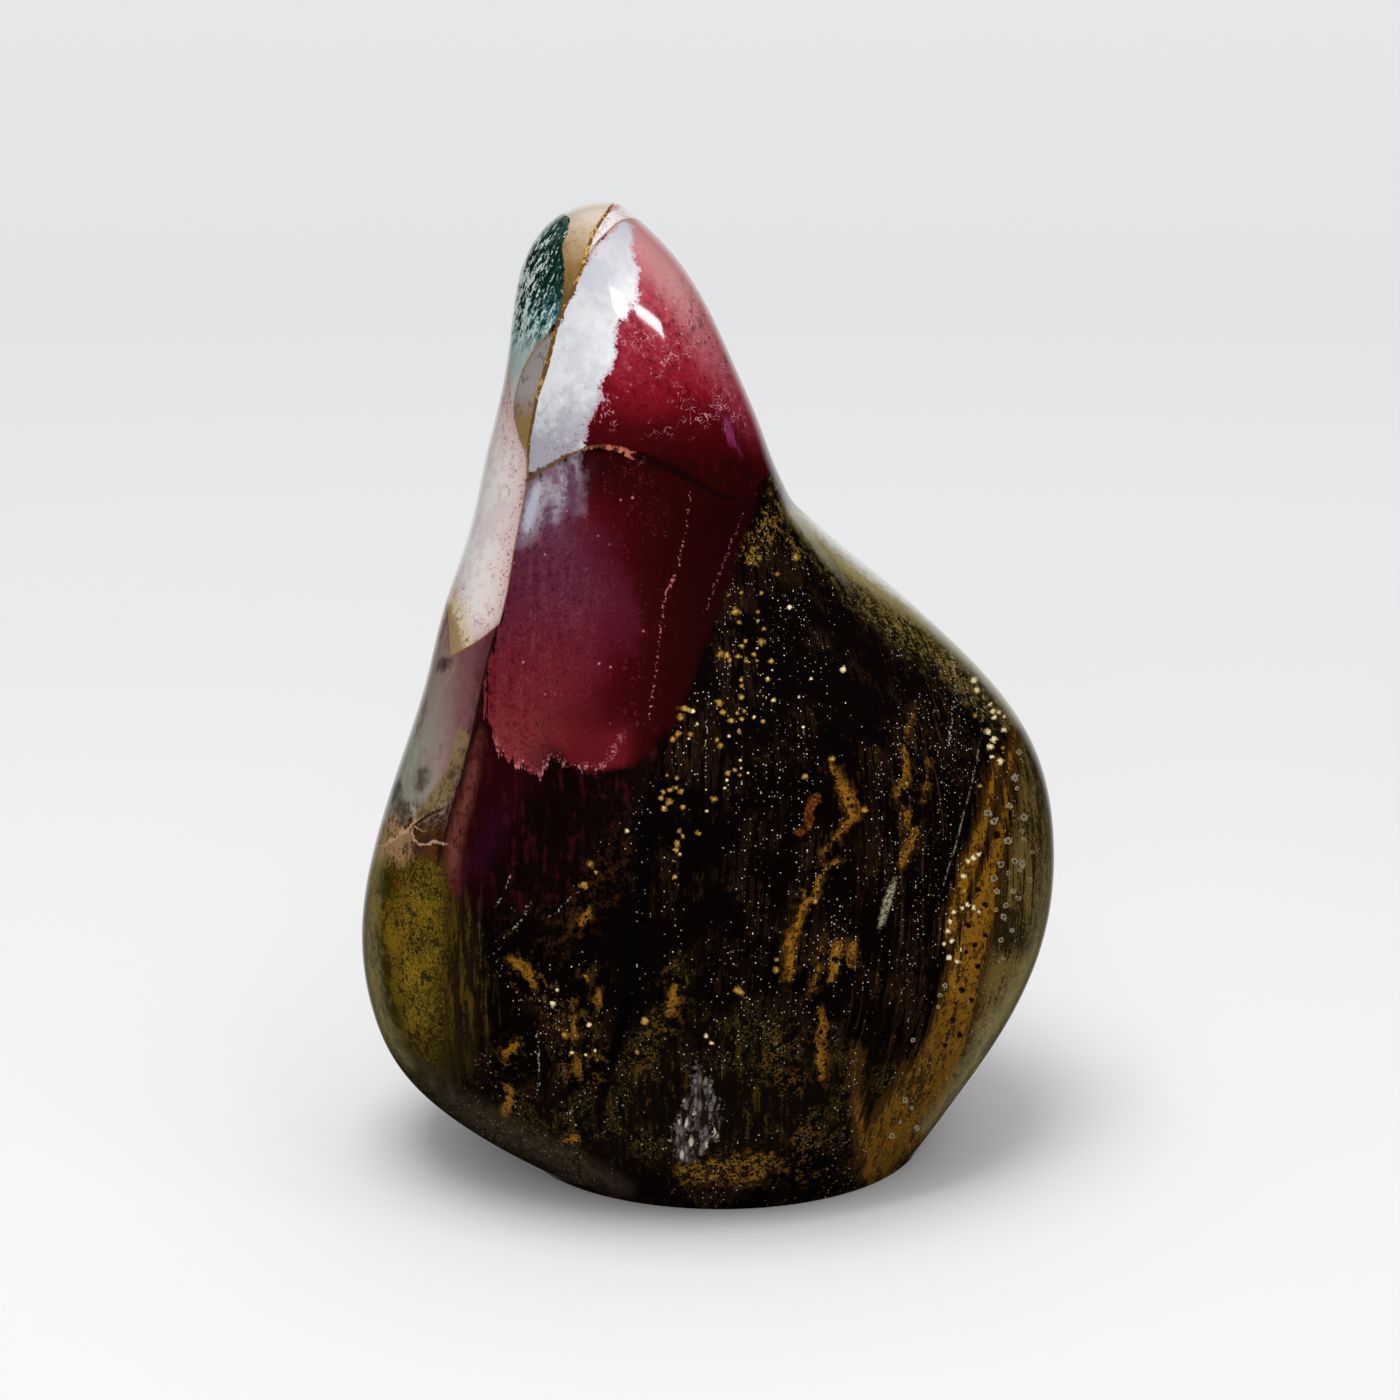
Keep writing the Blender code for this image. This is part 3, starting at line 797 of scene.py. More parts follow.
# Colours that change along the face or into a field, by the place or depth in millimetres of each.
TONES = {
    "crimson": (
        (25.0, (200, 146, 148)), (28.5, (176, 96, 106)), (32.0, (158, 60, 76)), (37.0, (140, 36, 52)),
        (43.0, (114, 14, 27)), (47.0, (66, 5, 9)), (51.5, (36, 4, 4)),
    ),
    # Lighter towards the right rim: the crimson's own tone there with a painted rim sheen.
    "crimson_rim_sheen": (
        (32.0, (178, 124, 124)), (38.0, (162, 84, 92)), (44.0, (138, 44, 60)), (48.0, (116, 28, 48)),
        (51.5, (70, 5, 5)),
    ),
    "milk": (
        (26.0, (192, 188, 192)), (36.0, (208, 208, 211)), (43.0, (190, 192, 197)), (50.0, (152, 146, 155)),
    ),
    "green": (
        (24.0, (52, 84, 70)), (28.0, (18, 46, 36)), (32.5, (24, 58, 52)), (35.0, (54, 100, 106)),
        (37.5, (134, 162, 160)), (43.0, (174, 178, 172)),
    ),
    "cream": ((23.5, (200, 187, 172)), (26.5, (172, 148, 116)), (29.5, (132, 104, 62)), (34.0, (96, 72, 38))),
    "sliver": ((37.0, (142, 132, 128)), (43.0, (148, 142, 142)), (46.5, (130, 106, 68))),
    "deep_red": (
        (64.0, (74, 10, 17)), (67.0, (64, 6, 12)), (71.0, (48, 5, 6)), (75.0, (36, 4, 4)), (80.0, (28, 4, 3)),
    ),
    "veil": (
        (56.0, (96, 56, 76)), (61.0, (84, 34, 52)), (66.0, (84, 30, 46)), (72.0, (96, 27, 37)),
        (78.0, (110, 31, 38)), (83.0, (124, 44, 46)),
    ),
    "flank": (
        (43.0, (134, 136, 122)), (46.0, (138, 134, 120)), (48.5, (142, 128, 118)), (51.0, (122, 84, 82)),
        (54.0, (92, 40, 48)),
    ),
    "patch": ((0.0, (186, 160, 154)), (0.9, (206, 190, 184)), (2.2, (216, 207, 203)), (5.0, (222, 220, 218))),
    "crack": ((59.0, (84, 64, 36)), (64.5, (98, 70, 42)), (68.0, (64, 16, 10)), (71.0, (20, 3, 4))),
    # The painted sheen on the shoulder, by depth in its band: olive inside, near white along the outline.
    "shoulder_sheen_tones": ((-0.8, (92, 80, 40)), (0.6, (140, 130, 90)), (1.5, (200, 199, 190)), (2.0, (206, 206, 200))),
}

# An orb's heart and rim, between which shares of its radius one becomes the other, and how well it covers.
BEAD_TONES = {
    "gold": ((182, 148, 62), (96, 66, 18), (0.0, 0.95), 1.0),
    # The cream orbs' bright hearts are partly painted glints.
    "cream": ((232, 220, 180), (140, 112, 58), (0.3, 1.0), 1.0),
    "grey": ((58, 48, 34), (150, 142, 116), (0.1, 0.8), 0.9),
}
BEAD_EDGE = (1.12, 0.94)


class Channel:
    """A number that varies over the surface: a shader socket times a constant, which takes part in sums."""

    def __init__(self, socket, times=1.0):
        self.socket, self.times = socket, times

    def node(self, operation, *values):
        values = [value.plain() if isinstance(value, Channel) else value for value in values]
        tree = self.socket.node.id_data
        return Channel(add_node(tree, "Math", dict(enumerate(values)), operation=operation).outputs[0])

    def plain(self):
        """The same number, with its constant worked in."""
        return self if self.times == 1 else self.node("MULTIPLY", self.socket, self.times)

    def __add__(self, other):
        if isinstance(other, Channel) and other.times != 1:
            return self.node("MULTIPLY_ADD", other.socket, other.times, self)
        if self.times != 1:
            return self.node("MULTIPLY_ADD", self.socket, self.times, other)
        return self.node("ADD", self, other)

    def __sub__(self, other):
        return self + -1.0 * other

    def __mul__(self, other):
        if isinstance(other, Channel):
            return Channel(self.node("MULTIPLY", self.socket, other.socket).socket, self.times * other.times)
        return Channel(self.socket, self.times * other)

    __radd__ = __add__
    __rmul__ = __mul__

    def size(self):
        return Channel(self.node("ABSOLUTE", self.socket).socket, abs(self.times))

    def most(self, other):
        return self.node("MAXIMUM", self, other)

    def least(self, other):
        return self.node("MINIMUM", self, other)

    def map(self, low, high, top, kind):
        """0 at low and top at high, held there past them. With low above high it runs the other way."""
        low, high = low / self.times, high / self.times
        ends = (low, high, 0.0, top) if low < high else (high, low, top, 0.0)
        tree, inputs = self.socket.node.id_data, dict(enumerate((self.socket, *ends)))
        return Channel(add_node(tree, "MapRange", inputs, interpolation_type=kind).outputs[0])

    def rise(self, low, high, top=1.0):
        """0 below low, top above high, smooth between. With low above high it falls instead."""
        return self.map(low, high, top, "SMOOTHSTEP")

    def ramp(self, stops):
        """The colour that belongs to this number, from stops of a number and its colour."""
        low, high = stops[0][0], stops[-1][0]
        node = add_node(self.socket.node.id_data, "ValToRGB", {0: self.map(low, high, 1.0, "LINEAR")})
        marks = node.color_ramp.elements
        while len(marks) < len(stops):
            marks.new(1)
        for mark, (value, tone) in zip(marks, stops):
            mark.position = (value - low) / (high - low)
            mark.color = colour(*tone)
        return node.outputs[0]


def feed(value, place):
    """Gives a socket its value: a link from a channel or another socket, or a constant."""
    if isinstance(value, Channel):
        value = value.socket
    if isinstance(value, bpy.types.NodeSocket):
        place.id_data.links.new(value, place)
    else:
        place.default_value = value


def add_node(tree, kind, inputs, **settings):
    """A new shader node with these settings, its inputs fed by their names or numbers."""
    node = tree.nodes.new("ShaderNode" + kind)
    for name, value in settings.items():
        setattr(node, name, value)
    for name, value in inputs.items():
        feed(value, node.inputs[name])
    return node


def colour(red, green, blue):
    """A colour given as screen values from 0 to 255, in the linear light that shaders use."""
    screen = np.array([red, green, blue]) / 255
    linear = np.where(screen <= 0.04045, screen / 12.92, ((screen + 0.055) / 1.055) ** 2.4)
    return (*linear.tolist(), 1.0)


class Palette:
    """The nodes of one material, with the patterns that the stone is painted from.

    place is where a point is in the stone, x and y where it is on the face, all in millimetres. The noises
    lie around 0: rough and ragged are coarse and fine, coarse and grit are blends of both, clouds is wide,
    thin and broad are narrow and wide layers that lean down to the left through the stone, and upright is
    drawn out down the stone. chip is 1 on scattered chips.
    """

    def __init__(self, tree):
        self.tree = tree
        self.place = self.stretched(add_node(tree, "TexCoord", {}).outputs["Object"], (MM, MM, MM))
        self.x, self.y = self.field("view_x"), self.field("view_y")
        self.rough = self.noise(1.1, 3.0, 0.65)
        self.ragged = self.noise(0.32, 2.0, 0.6)
        self.coarse = self.rough + 0.5 * self.ragged
        self.grit = self.ragged + 0.7 * self.rough
        self.clouds = self.noise(6.0, 1.0, 0.55)
        self.thin = self.noise(1.0, 3.0, 0.65, widths=(0.5, 5.0, 8.0), turn=LAYERS_TURN)
        self.broad = self.noise(1.0, 2.0, 0.5, widths=(2.5, 9.0, 16.0), turn=LAYERS_TURN)
        self.upright = self.noise(1.0, 3.0, 0.6, widths=(0.65, 3.0, 6.0))
        distance, chance, bright = self.grains(1.1)
        self.chip = distance.rise(0.17, 0.07) * chance.rise(0.74, 0.8) * bright

    def stretched(self, place, widths, turn=(0, 0, 0)):
        """The place in axes turned by these angles, counted in these widths along them."""
        inputs = {"Vector": place, "Rotation": turn, "Scale": widths}
        return add_node(self.tree, "Mapping", inputs, vector_type="TEXTURE").outputs[0]

    def attribute(self, name):
        return add_node(self.tree, "Attribute", {}, attribute_name=name)

    def field(self, name, *wander):
        """A field of numbers, with noise added to it so that its edge wanders."""
        depth = Channel(self.attribute(name).outputs["Fac"])
        return sum(wander, depth)

    def down(self, name, *wander, top=1.0):
        """From 0 to top between two places down the face."""
        return sum(wander, self.y).rise(*DOWN[name], top)

    def across(self, name, *wander, top=1.0):
        """From 0 to top between two places across the face."""
        return sum(wander, self.x).rise(*ACROSS[name], top)

    def aslant(self, name, *wander):
        """From 0 to 1 between two slanting lines on the face."""
        slope, low, high = ASLANT[name]
        return sum(wander, self.x + slope * self.y).rise(low, high)

    def parts(self, name):
        """The three numbers of a field of vectors."""
        apart = add_node(self.tree, "SeparateColor", {0: self.attribute(name).outputs["Color"]})
        return [Channel(socket) for socket in apart.outputs]

    def noise(self, size, detail=2.0, roughness=0.5, twist=0.0, widths=None, turn=(0, 0, 0)):
        """Cloudy noise around 0, mostly within 0.5 of it, with clouds about this many millimetres wide.

        With widths, they are that many times as wide along the turned axes.
        """
        where = self.stretched(self.place, widths, turn) if widths else self.place
        inputs = {"Vector": where, "Scale": 1 / size, "Detail": detail, "Roughness": roughness}
        return Channel(add_node(self.tree, "TexNoise", inputs | {"Distortion": twist}).outputs["Fac"]) - 0.5

    def grains(self, spacing, widths=None):
        """Scattered seeds: the distance to the nearest, in spacings, and two random numbers of its own."""
        where = self.stretched(self.place, widths) if widths else self.place
        seeds = add_node(self.tree, "TexVoronoi", {"Vector": where, "Scale": 1 / spacing})
        chance = add_node(self.tree, "SeparateColor", {0: seeds.outputs["Color"]})
        return Channel(seeds.outputs["Distance"]), Channel(chance.outputs[0]), Channel(chance.outputs[1])

    def over(self, base, top, cover):
        """One colour laid over another where cover is 1. Each is a socket or a triple of screen values."""
        base, top = (colour(*tone) if isinstance(tone, tuple) else tone for tone in (base, top))
        inputs = {"Factor": cover.plain(), "A": base, "B": top}
        return add_node(self.tree, "Mix", inputs, data_type="RGBA").outputs["Result"]

    def thread(self, name, wobble, top=1.0):
        """How much the threads of a field cover each point. They wander by the share wobble of a noise."""
        distance, half, window = self.parts(name)
        line = (distance + wobble * self.coarse).size() - half
        return line.rise(0.05, -0.05, top) * window

    def beads(self, kind):
        """The distance from the nearest bead of a kind, counted in its radius and made a little uneven."""
        near = None
        for number in range(len(bead_layers(kind))):
            offset = self.attribute(f"{kind}_beads_{number}").outputs["Vector"]
            length = add_node(self.tree, "VectorMath", {0: offset}, operation="LENGTH")
            away = Channel(length.outputs["Value"])
            near = away if near is None else near.least(away)
        return near + 1.9 * self.grit


def paint_ground(p):
    """The dark body: thin brown layers on near black, with olive, banded and rusty grounds."""
    yield (26, 13, 7), (p.thin + 0.8 * p.clouds).rise(0.02, 0.22)
    layer = p.thin + 0.2 * p.rough
    hairs = layer.size().rise(0.025, 0.005, 0.6) * (p.clouds + p.rough).rise(-0.02, 0.14)
    yield (60, 40, 18), hairs
    banded = p.field("banded_ground").rise(-1.5, 2.0, 0.8)
    yield (56, 34, 11), (p.thin + 0.4 * p.ragged).rise(0.04, 0.18) * banded
    yield (4, 2, 2), (layer - 0.08).size().rise(0.04, 0.01) * banded
    rust = p.field("rust_ground", 6.0 * p.rough).rise(-1.0, 2.5)
    yield (50, 26, 10), rust * p.grit.rise(-0.02, 0.16)
    olive = p.field("olive_ground", 9.0 * p.clouds, 3.0 * p.rough).rise(-1.0, 3.5, 0.85)
    moss = p.over((14, 9, 4), (62, 46, 15), (p.grit + 1.6 * p.upright).rise(0.04, 0.4))
    yield moss, olive
    veins = (p.rough + 0.6 * p.upright).size().rise(0.016, 0.004, 0.8) * (p.clouds + p.broad).rise(-0.04, 0.1)
    yield (92, 74, 28), veins * olive
    right = p.field("right_olive", 1.5 * p.rough, 1.5 * p.thin).rise(-0.8, 1.0)
    moss = p.over((38, 28, 13), (104, 85, 42), (p.thin + p.clouds + 0.7 * p.grit).rise(-0.14, 0.2))
    yield moss, right
    yield (4, 2, 2), p.field("black_streaks", 1.4 * p.rough).rise(-0.5, 0.6)


def paint_specks(p):
    """Fine pale specks, thick in the speckled places and thin elsewhere."""
    crowd = p.field("speckled").rise(-3.0, 2.0, 0.16) + 0.6 * (p.clouds + p.broad + p.thin)
    distance, chance, bright = p.grains(0.28)
    fine = (distance + 0.5 * p.ragged).rise(0.3, 0.12) * (chance + crowd).rise(0.9, 0.97)
    yield (232, 222, 194), fine * bright.rise(-0.2, 1.0)
    distance, chance, bright = p.grains(0.9)
    large = distance.rise(0.12, 0.05) * (chance + crowd).rise(0.95, 0.99)
    yield (216, 202, 166), large * bright.rise(-0.3, 0.9)


def paint_ochre(p):
    """Ochre streaks and strands with dark pits, and fields that are finely broken up."""
    tone = p.over((134, 91, 19), (84, 52, 12), p.coarse.rise(-0.06, 0.14))
    tone = p.over(tone, (30, 17, 5), (p.ragged - 0.6 * p.thin).rise(0.1, 0.16, 0.7))
    streaks = p.field("ochre_streaks")
    yield (58, 38, 12), (streaks + 4.0 * p.rough + 2.5 * p.thin).rise(-0.6, 0.1, 0.55)
    depth = streaks + 2.4 * p.rough + p.ragged
    inner = depth.rise(0.12, 0.3, 0.5) * p.grit.rise(-0.02, 0.12)
    yield p.over(tone, (40, 23, 7), inner), depth.rise(-0.04, 0.08)
    red = p.over((96, 50, 14), (54, 26, 8), p.ragged.rise(-0.05, 0.1))
    yield red, p.field("rust_blotch", 1.8 * p.rough, 0.5 * p.ragged).rise(-0.1, 0.15)
    strands = p.field("ochre_strands")
    yield (62, 40, 10), (strands + 2.0 * p.rough + 4.0 * p.thin).rise(-1.1, 0.2, 0.8)
    striped = p.over(tone, (84, 60, 18), p.down("strand_stripes", 9.0 * p.rough, 20.0 * p.clouds, top=0.7))
    stripes = p.upright + p.thin + 0.6 * p.clouds + 0.6 * p.grit
    striped = p.over(striped, (38, 24, 8), stripes.rise(0.0, 0.14, 0.85))
    strands = strands + 1.5 * p.rough + 0.6 * p.ragged + 2.2 * p.thin
    yield striped, strands.rise(-0.1, 0.2)
    fine = p.field("fine_ochre", 4.0 * p.rough).rise(-1.0, 1.2, 0.85)
    yield (96, 66, 20), fine * (p.ragged + 1.3 * p.rough).rise(0.08, 0.16, 0.65)
    low = p.field("low_ochre", 3.0 * p.rough).rise(-0.8, 0.8)
    yield p.over((26, 17, 6), (112, 82, 18), p.grit.rise(-0.06, 0.12)), low
    gold = p.field("gold_ground", 3.0 * p.rough).rise(-0.5, 0.5) * p.coarse.rise(0.02, 0.1, 0.85)
    yield p.over((92, 68, 24), (150, 116, 40), p.ragged.rise(0.0, 0.14)), gold
    shoulder = p.field("shoulder_olive", 3.0 * p.rough).rise(-0.8, 1.8, 0.9)
    moss = p.over((26, 19, 8), (112, 94, 46), (p.grit + 0.5 * p.thin).rise(-0.08, 0.16))
    yield moss, shoulder


def paint_beads(p):
    """Orbs and beads, the grey glint and the crystals. The bright hearts of the cream orbs are partly painted
    glints.
    """
    for kind, (heart, rim, between, cover) in BEAD_TONES.items():
        near = p.beads(kind)
        bead = p.over(heart, rim, near.rise(*between))
        yield bead, near.rise(*BEAD_EDGE, cover)
    yield (22, 11, 6), p.beads("dark").rise(1.15, 0.9)
    glint = p.field("grey_glint", 1.2 * p.ragged, 0.8 * p.rough).rise(-0.1, 0.15, 0.85)
    yield p.over((158, 154, 128), (74, 64, 36), p.ragged.rise(-0.05, 0.1)), glint
    distance, chance, other = p.grains(0.8, widths=(0.6, 1.0, 2.2))
    shard = p.over((104, 98, 92), (26, 18, 12), (chance + p.ragged).rise(0.42, 0.5))
    shard = p.over(shard, (186, 180, 164), (other + 0.6 * p.ragged).rise(0.76, 0.84))
    shard = p.over(shard, (28, 19, 12), (distance + 0.5 * p.ragged).rise(0.4, 0.5, 0.75))
    yield shard, p.field("crystals", 3.0 * p.rough, p.ragged).rise(-0.15, 0.25, 0.9)


def paint_corner(p):
    """The mustard corner at the left, with brown and olive stripes beside it."""
    moss = p.over((48, 40, 7), (116, 92, 14), (p.clouds + p.coarse + 0.6 * p.upright).rise(-0.14, 0.18))
    rusty = p.field("rusty_moss", 3.0 * p.rough).rise(-0.5, 0.8, 0.7) * p.grit.rise(-0.1, 0.1)
    moss = p.over(moss, (104, 62, 16), rusty)
    lace = p.coarse.size().rise(0.035, 0.008, 0.6) * p.across("corner_lace", 5.0 * p.clouds)
    moss = p.over(moss, (34, 27, 6), (p.grit + 0.5 * p.upright).rise(0.03, 0.15, 0.8))
    moss = p.over(moss, (156, 130, 46), lace)
    stripes = p.upright + 0.25 * p.thin + 0.25 * p.grit
    striped = p.over((28, 17, 8), (68, 53, 12), stripes.rise(-0.02, 0.16))
    moss = p.over(moss, striped, p.across("corner_stripes", 5.0 * p.rough, 5.0 * p.upright))
    moss = p.over(moss, (34, 24, 8), p.down("corner_foot", 5.0 * p.rough, top=0.75))
    yield moss, p.field("mustard", 3.0 * p.rough, 5.0 * p.upright).rise(-1.6, 1.2)


def paint_flank(p):
    """The greyish flank above the corner, with its tan wedge, its smudges and a broken foot."""
    flank = (p.x + 2.0 * p.rough).ramp(TONES["flank"])
    rosy = (p.clouds + 0.7 * p.rough).rise(0.0, 0.1, 0.7) * p.down("rosy_flank")
    flank = p.over(flank, (112, 72, 80), rosy)
    pale = (p.clouds + p.rough).rise(0.0, -0.14, 0.55) * p.across("pale_flank")
    flank = p.over(flank, (158, 162, 150), pale)
    low = p.over((150, 116, 80), (78, 46, 22), p.across("tan_foot", 5.0 * p.rough))
    flank = p.over(flank, low, p.down("tan_foot", 6.0 * p.rough))
    pits = (p.ragged + 1.2 * p.rough).rise(0.02, 0.12, 0.8) * p.down("dark_foot", p.rough)
    flank = p.over(flank, (44, 28, 16), pits)
    wedge = p.field("tan_flank", 0.3 * p.rough).rise(-0.1, 0.15, 0.9)
    flank = p.over(flank, p.over((128, 108, 76), (96, 78, 48), p.coarse.rise(-0.05, 0.12)), wedge)
    flank = p.over(flank, (56, 36, 30), p.field("dark_smudges", 1.6 * p.rough).rise(-0.5, 0.4, 0.75))
    foot = p.down("flank_foot", 5.0 * p.rough, 2.5 * p.ragged, 2.0 * p.upright)
    yield flank, p.field("grey_flank", 0.5 * p.rough).rise(-0.12, 0.18) * foot


def paint_maroon(p):
    """The maroon field, with a salmon band at its left edge and some purple low down."""
    dark = p.over((36, 5, 8), (14, 4, 4), p.aslant("maroon_shade", 9.0 * p.clouds))
    dark = p.over(dark, (54, 13, 22), (p.upright + 0.8 * p.rough).rise(0.04, 0.2, 0.6))
    dark = p.over(dark, (48, 8, 34), p.field("low_purple", 2.0 * p.rough).rise(-1.2, 1.6, 0.5))
    salmon = p.over((112, 62, 50), (70, 24, 22), (p.upright + p.rough).rise(-0.1, 0.15))
    dark = p.over(dark, salmon, p.field("salmon", 1.2 * p.rough, 2.0 * p.upright).rise(-0.6, 0.7, 0.9))
    yield dark, p.field("maroon", 4.0 * p.broad, 4.0 * p.rough).rise(-2.2, 1.8)


def paint_reds(p):
    """Deep red at the right, and the scratched patch that runs from lavender through mauve to rose."""
    scratch = 0.45 * p.upright + 0.75 * p.grit
    deep = (p.x + 2.0 * p.rough + 2.0 * p.clouds).ramp(TONES["deep_red"])
    deep = p.over(deep, (38, 4, 4), p.down("under_crack", 3.0 * p.rough))
    deep = p.over(deep, (92, 18, 24), p.down("rosy_foot", 4.0 * p.rough) * p.across("rosy_foot"))
    deep = p.over(deep, (104, 28, 38), scratch.rise(0.08, 0.2, 0.55) * p.across("scratches"))
    yield deep, p.field("deep_red", 2.0 * p.rough, 2.5 * p.broad).rise(-0.7, 0.7)

    veil = (p.y + 3.0 * p.rough + 5.0 * p.clouds).ramp(TONES["veil"])
    veil = p.over(veil, (142, 88, 102), scratch.rise(0.02, 0.24, 0.3))
    veil = p.over(veil, (58, 9, 24), scratch.rise(-0.02, -0.18, 0.6))
    veil = p.over(veil, (40, 5, 12), p.grit.rise(0.17, 0.23, 0.8))
    waist = p.x + 0.5 * (p.y - VEIL_WAIST_Y).size()
    edge = waist + 5.0 * p.rough + 8.0 * p.clouds + 4.0 * p.upright
    left = edge.rise(73.5, 64.5).least(p.down("veil_top", 4.0 * p.rough))
    fringe = p.field("rose_patch", 3.2 * p.upright, 1.2 * p.rough)
    patch = fringe.rise(-0.1, 0.12)
    yield veil, patch * left
    violet = (edge - VIOLET_X).size().rise(2.4, 0.0, 0.25) * p.down("violet_top", 2.0 * p.rough)
    yield (80, 15, 42), violet * p.down("violet_foot")
    tips = patch * fringe.rise(0.9, 0.2, 0.85) * p.down("pink_tips")
    yield (190, 116, 120), tips * scratch.rise(-0.02, 0.1) * p.across("pink_tips")

    cloudy = 0.5 * p.upright + 1.5 * p.rough + p.clouds
    pale = p.over((150, 138, 148), (114, 86, 102), cloudy.rise(-0.2, 0.24))
    stain = p.field("lavender_stain", 2.0 * p.rough, p.upright)
    pale = p.over(pale, (78, 38, 64), stain.rise(-0.6, 0.4, 0.8))
    pale = p.over(pale, (176, 180, 194), p.field("lavender_ice", p.rough).rise(-0.3, 0.5, 0.75))
    pale = p.over(pale, (66, 40, 58), (p.ragged - p.upright).rise(0.12, 0.2, 0.5))
    lavender = p.field("lavender", 1.5 * p.upright, 4.0 * p.rough, 2.0 * p.clouds)
    yield pale, lavender.rise(-0.9, 1.2)
    yield (186, 106, 114), p.chip * p.field("rose_patch").rise(-0.5, 0.5)


def paint_crimson(p):
    """The pink to crimson side of the peak, with its worm-like crumbs and chips, and a painted sheen along its
    right rim.
    """
    crimson = (p.y + 3.0 * p.rough + 4.0 * p.clouds).ramp(TONES["crimson"])
    # A painted sheen, lighter towards the right rim, over the crimson's own colour.
    rim = (p.y + 2.0 * p.rough).ramp(TONES["crimson_rim_sheen"])
    crimson = p.over(crimson, rim, p.aslant("crimson_rim_sheen", 1.6 * p.upright))
    streak = ((p.x - STREAK_SLOPE * p.y - STREAK_X).size() + 2.0 * p.upright).rise(0.6, 0.0, 0.6)
    crimson = p.over(crimson, (140, 50, 100), streak * p.down("streak_top") * p.down("streak_foot"))
    crimson = p.over(crimson, (200, 132, 138), p.coarse.rise(0.02, 0.2, 0.3) * p.down("blush"))
    crimson = p.over(crimson, (60, 4, 12), p.coarse.rise(-0.02, -0.18, 0.6) * p.down("shade"))
    worm = p.noise(0.9, 1.0, 0.4, 0.8)
    arcs = (p.rough + p.clouds).rise(-0.04, 0.08, 0.85) * p.down("crumbs_top") * p.down("crumbs_foot")
    crimson = p.over(crimson, (58, 4, 12), (worm + 0.022).size().rise(0.045, 0.015) * arcs)
    crimson = p.over(crimson, (194, 114, 122), worm.size().rise(0.03, 0.008) * arcs)
    crimson = p.over(crimson, (204, 138, 142), p.chip * p.down("chips_foot"))
    yield crimson, p.field("crimson", 0.5 * p.rough).rise(-0.08, 0.08)


def paint_milk(p):
    """The milky chalcedony in the middle of the peak, clouded, and rosy at its right edge."""
    milk = (p.y + 3.0 * p.rough).ramp(TONES["milk"])
    cloudy = p.clouds + 0.6 * p.rough
    milk = p.over(milk, (160, 164, 176), cloudy.rise(0.0, 0.24, 0.5))
    milk = p.over(milk, (228, 229, 231), cloudy.rise(0.04, -0.24, 0.6))
    milk = p.over(milk, (114, 88, 106), p.grit.rise(0.1, 0.2, 0.6) * (p.y + 0.6 * p.x).rise(80.0, 88.0))
    edge = p.field("chalcedony", 2.0 * p.rough, 1.2 * p.ragged)
    milk = p.over(milk, (164, 112, 128), edge.rise(0.6, 0.0, 0.6) * p.across("milk_edge"))
    yield milk, edge.rise(-0.12, 0.12)


def paint_caps(p):
    """The green cap with its dark bark and its pale streaks, partly frost in the stone and partly a painted
    streaky reflection, the cream cap, the pink seam and the grey sliver.
    """
    green = (p.y + 5.0 * p.rough).ramp(TONES["green"])
    bark = p.noise(1.0, 3.0, 0.65, widths=(0.4, 1.0, 1.5), turn=BARK_TURN)
    green = p.over(green, (7, 26, 20), (bark + 0.3 * p.ragged).rise(-0.01, -0.1, 0.9) * p.down("bark_foot"))
    # Pale streaks towards the upper left: partly frost in the stone, partly a painted streaky reflection.
    frost_and_sheen = (bark + 0.5 * p.ragged - 0.03 * (p.x - FROST_AND_SHEEN_X)).rise(0.0, 0.12, 0.9)
    green = p.over(green, (206, 218, 210), frost_and_sheen * p.down("frost_and_sheen_foot", 2.0 * p.rough))
    yield green, p.field("green_cap", p.rough, 0.5 * p.ragged).rise(-0.1, 0.1)
    cream = (p.y + 3.0 * p.rough - 0.2 * (p.x - CREAM_X)).ramp(TONES["cream"])
    cream = p.over(cream, (90, 66, 38), p.coarse.rise(0.05, 0.2, 0.35) * p.down("cream_shade"))
    yield cream, p.field("cream_cap", 0.8 * p.rough, 0.4 * p.ragged).rise(-0.1, 0.1)
    seam = p.over((214, 204, 204), (180, 162, 164), p.coarse.rise(-0.02, 0.16))
    yield seam, p.field("pink_seam", 0.8 * p.rough).rise(-0.1, 0.1)
    sliver = (p.y + 3.0 * p.rough).ramp(TONES["sliver"])
    sliver = p.over(sliver, (96, 80, 66), p.coarse.rise(0.05, 0.18, 0.6))
    yield sliver, p.field("grey_sliver", 0.3 * p.rough).rise(-0.08, 0.08)


def paint_patch(p):
    """The pale patch at the left, mauve and specked along its right edge and honey coloured at its foot."""
    depth = p.field("pale_patch")
    pale = (depth + 2.0 * p.coarse).ramp(TONES["patch"])
    pale = p.over(pale, (198, 172, 172), (p.clouds + p.rough).rise(0.0, 0.16, 0.45))
    honey = p.field("honey", 1.6 * p.coarse)
    pale = p.over(pale, (206, 192, 152), honey.rise(-1.0, 1.0))
    pale = p.over(pale, (146, 116, 62), honey.rise(0.7, 1.5, 0.85))
    mottle = (p.ragged + p.rough).rise(0.0, 0.16, 0.6) * (depth + 5.0 * p.clouds).rise(3.5, 0.2)
    pale = p.over(pale, (172, 130, 138), mottle)
    specks = (p.ragged + 0.5 * p.rough).rise(0.11, 0.19, 0.7) * depth.rise(4.0, 0.3)
    pale = p.over(pale, (112, 64, 72), specks)
    yield pale, depth.rise(-0.05, 0.05)


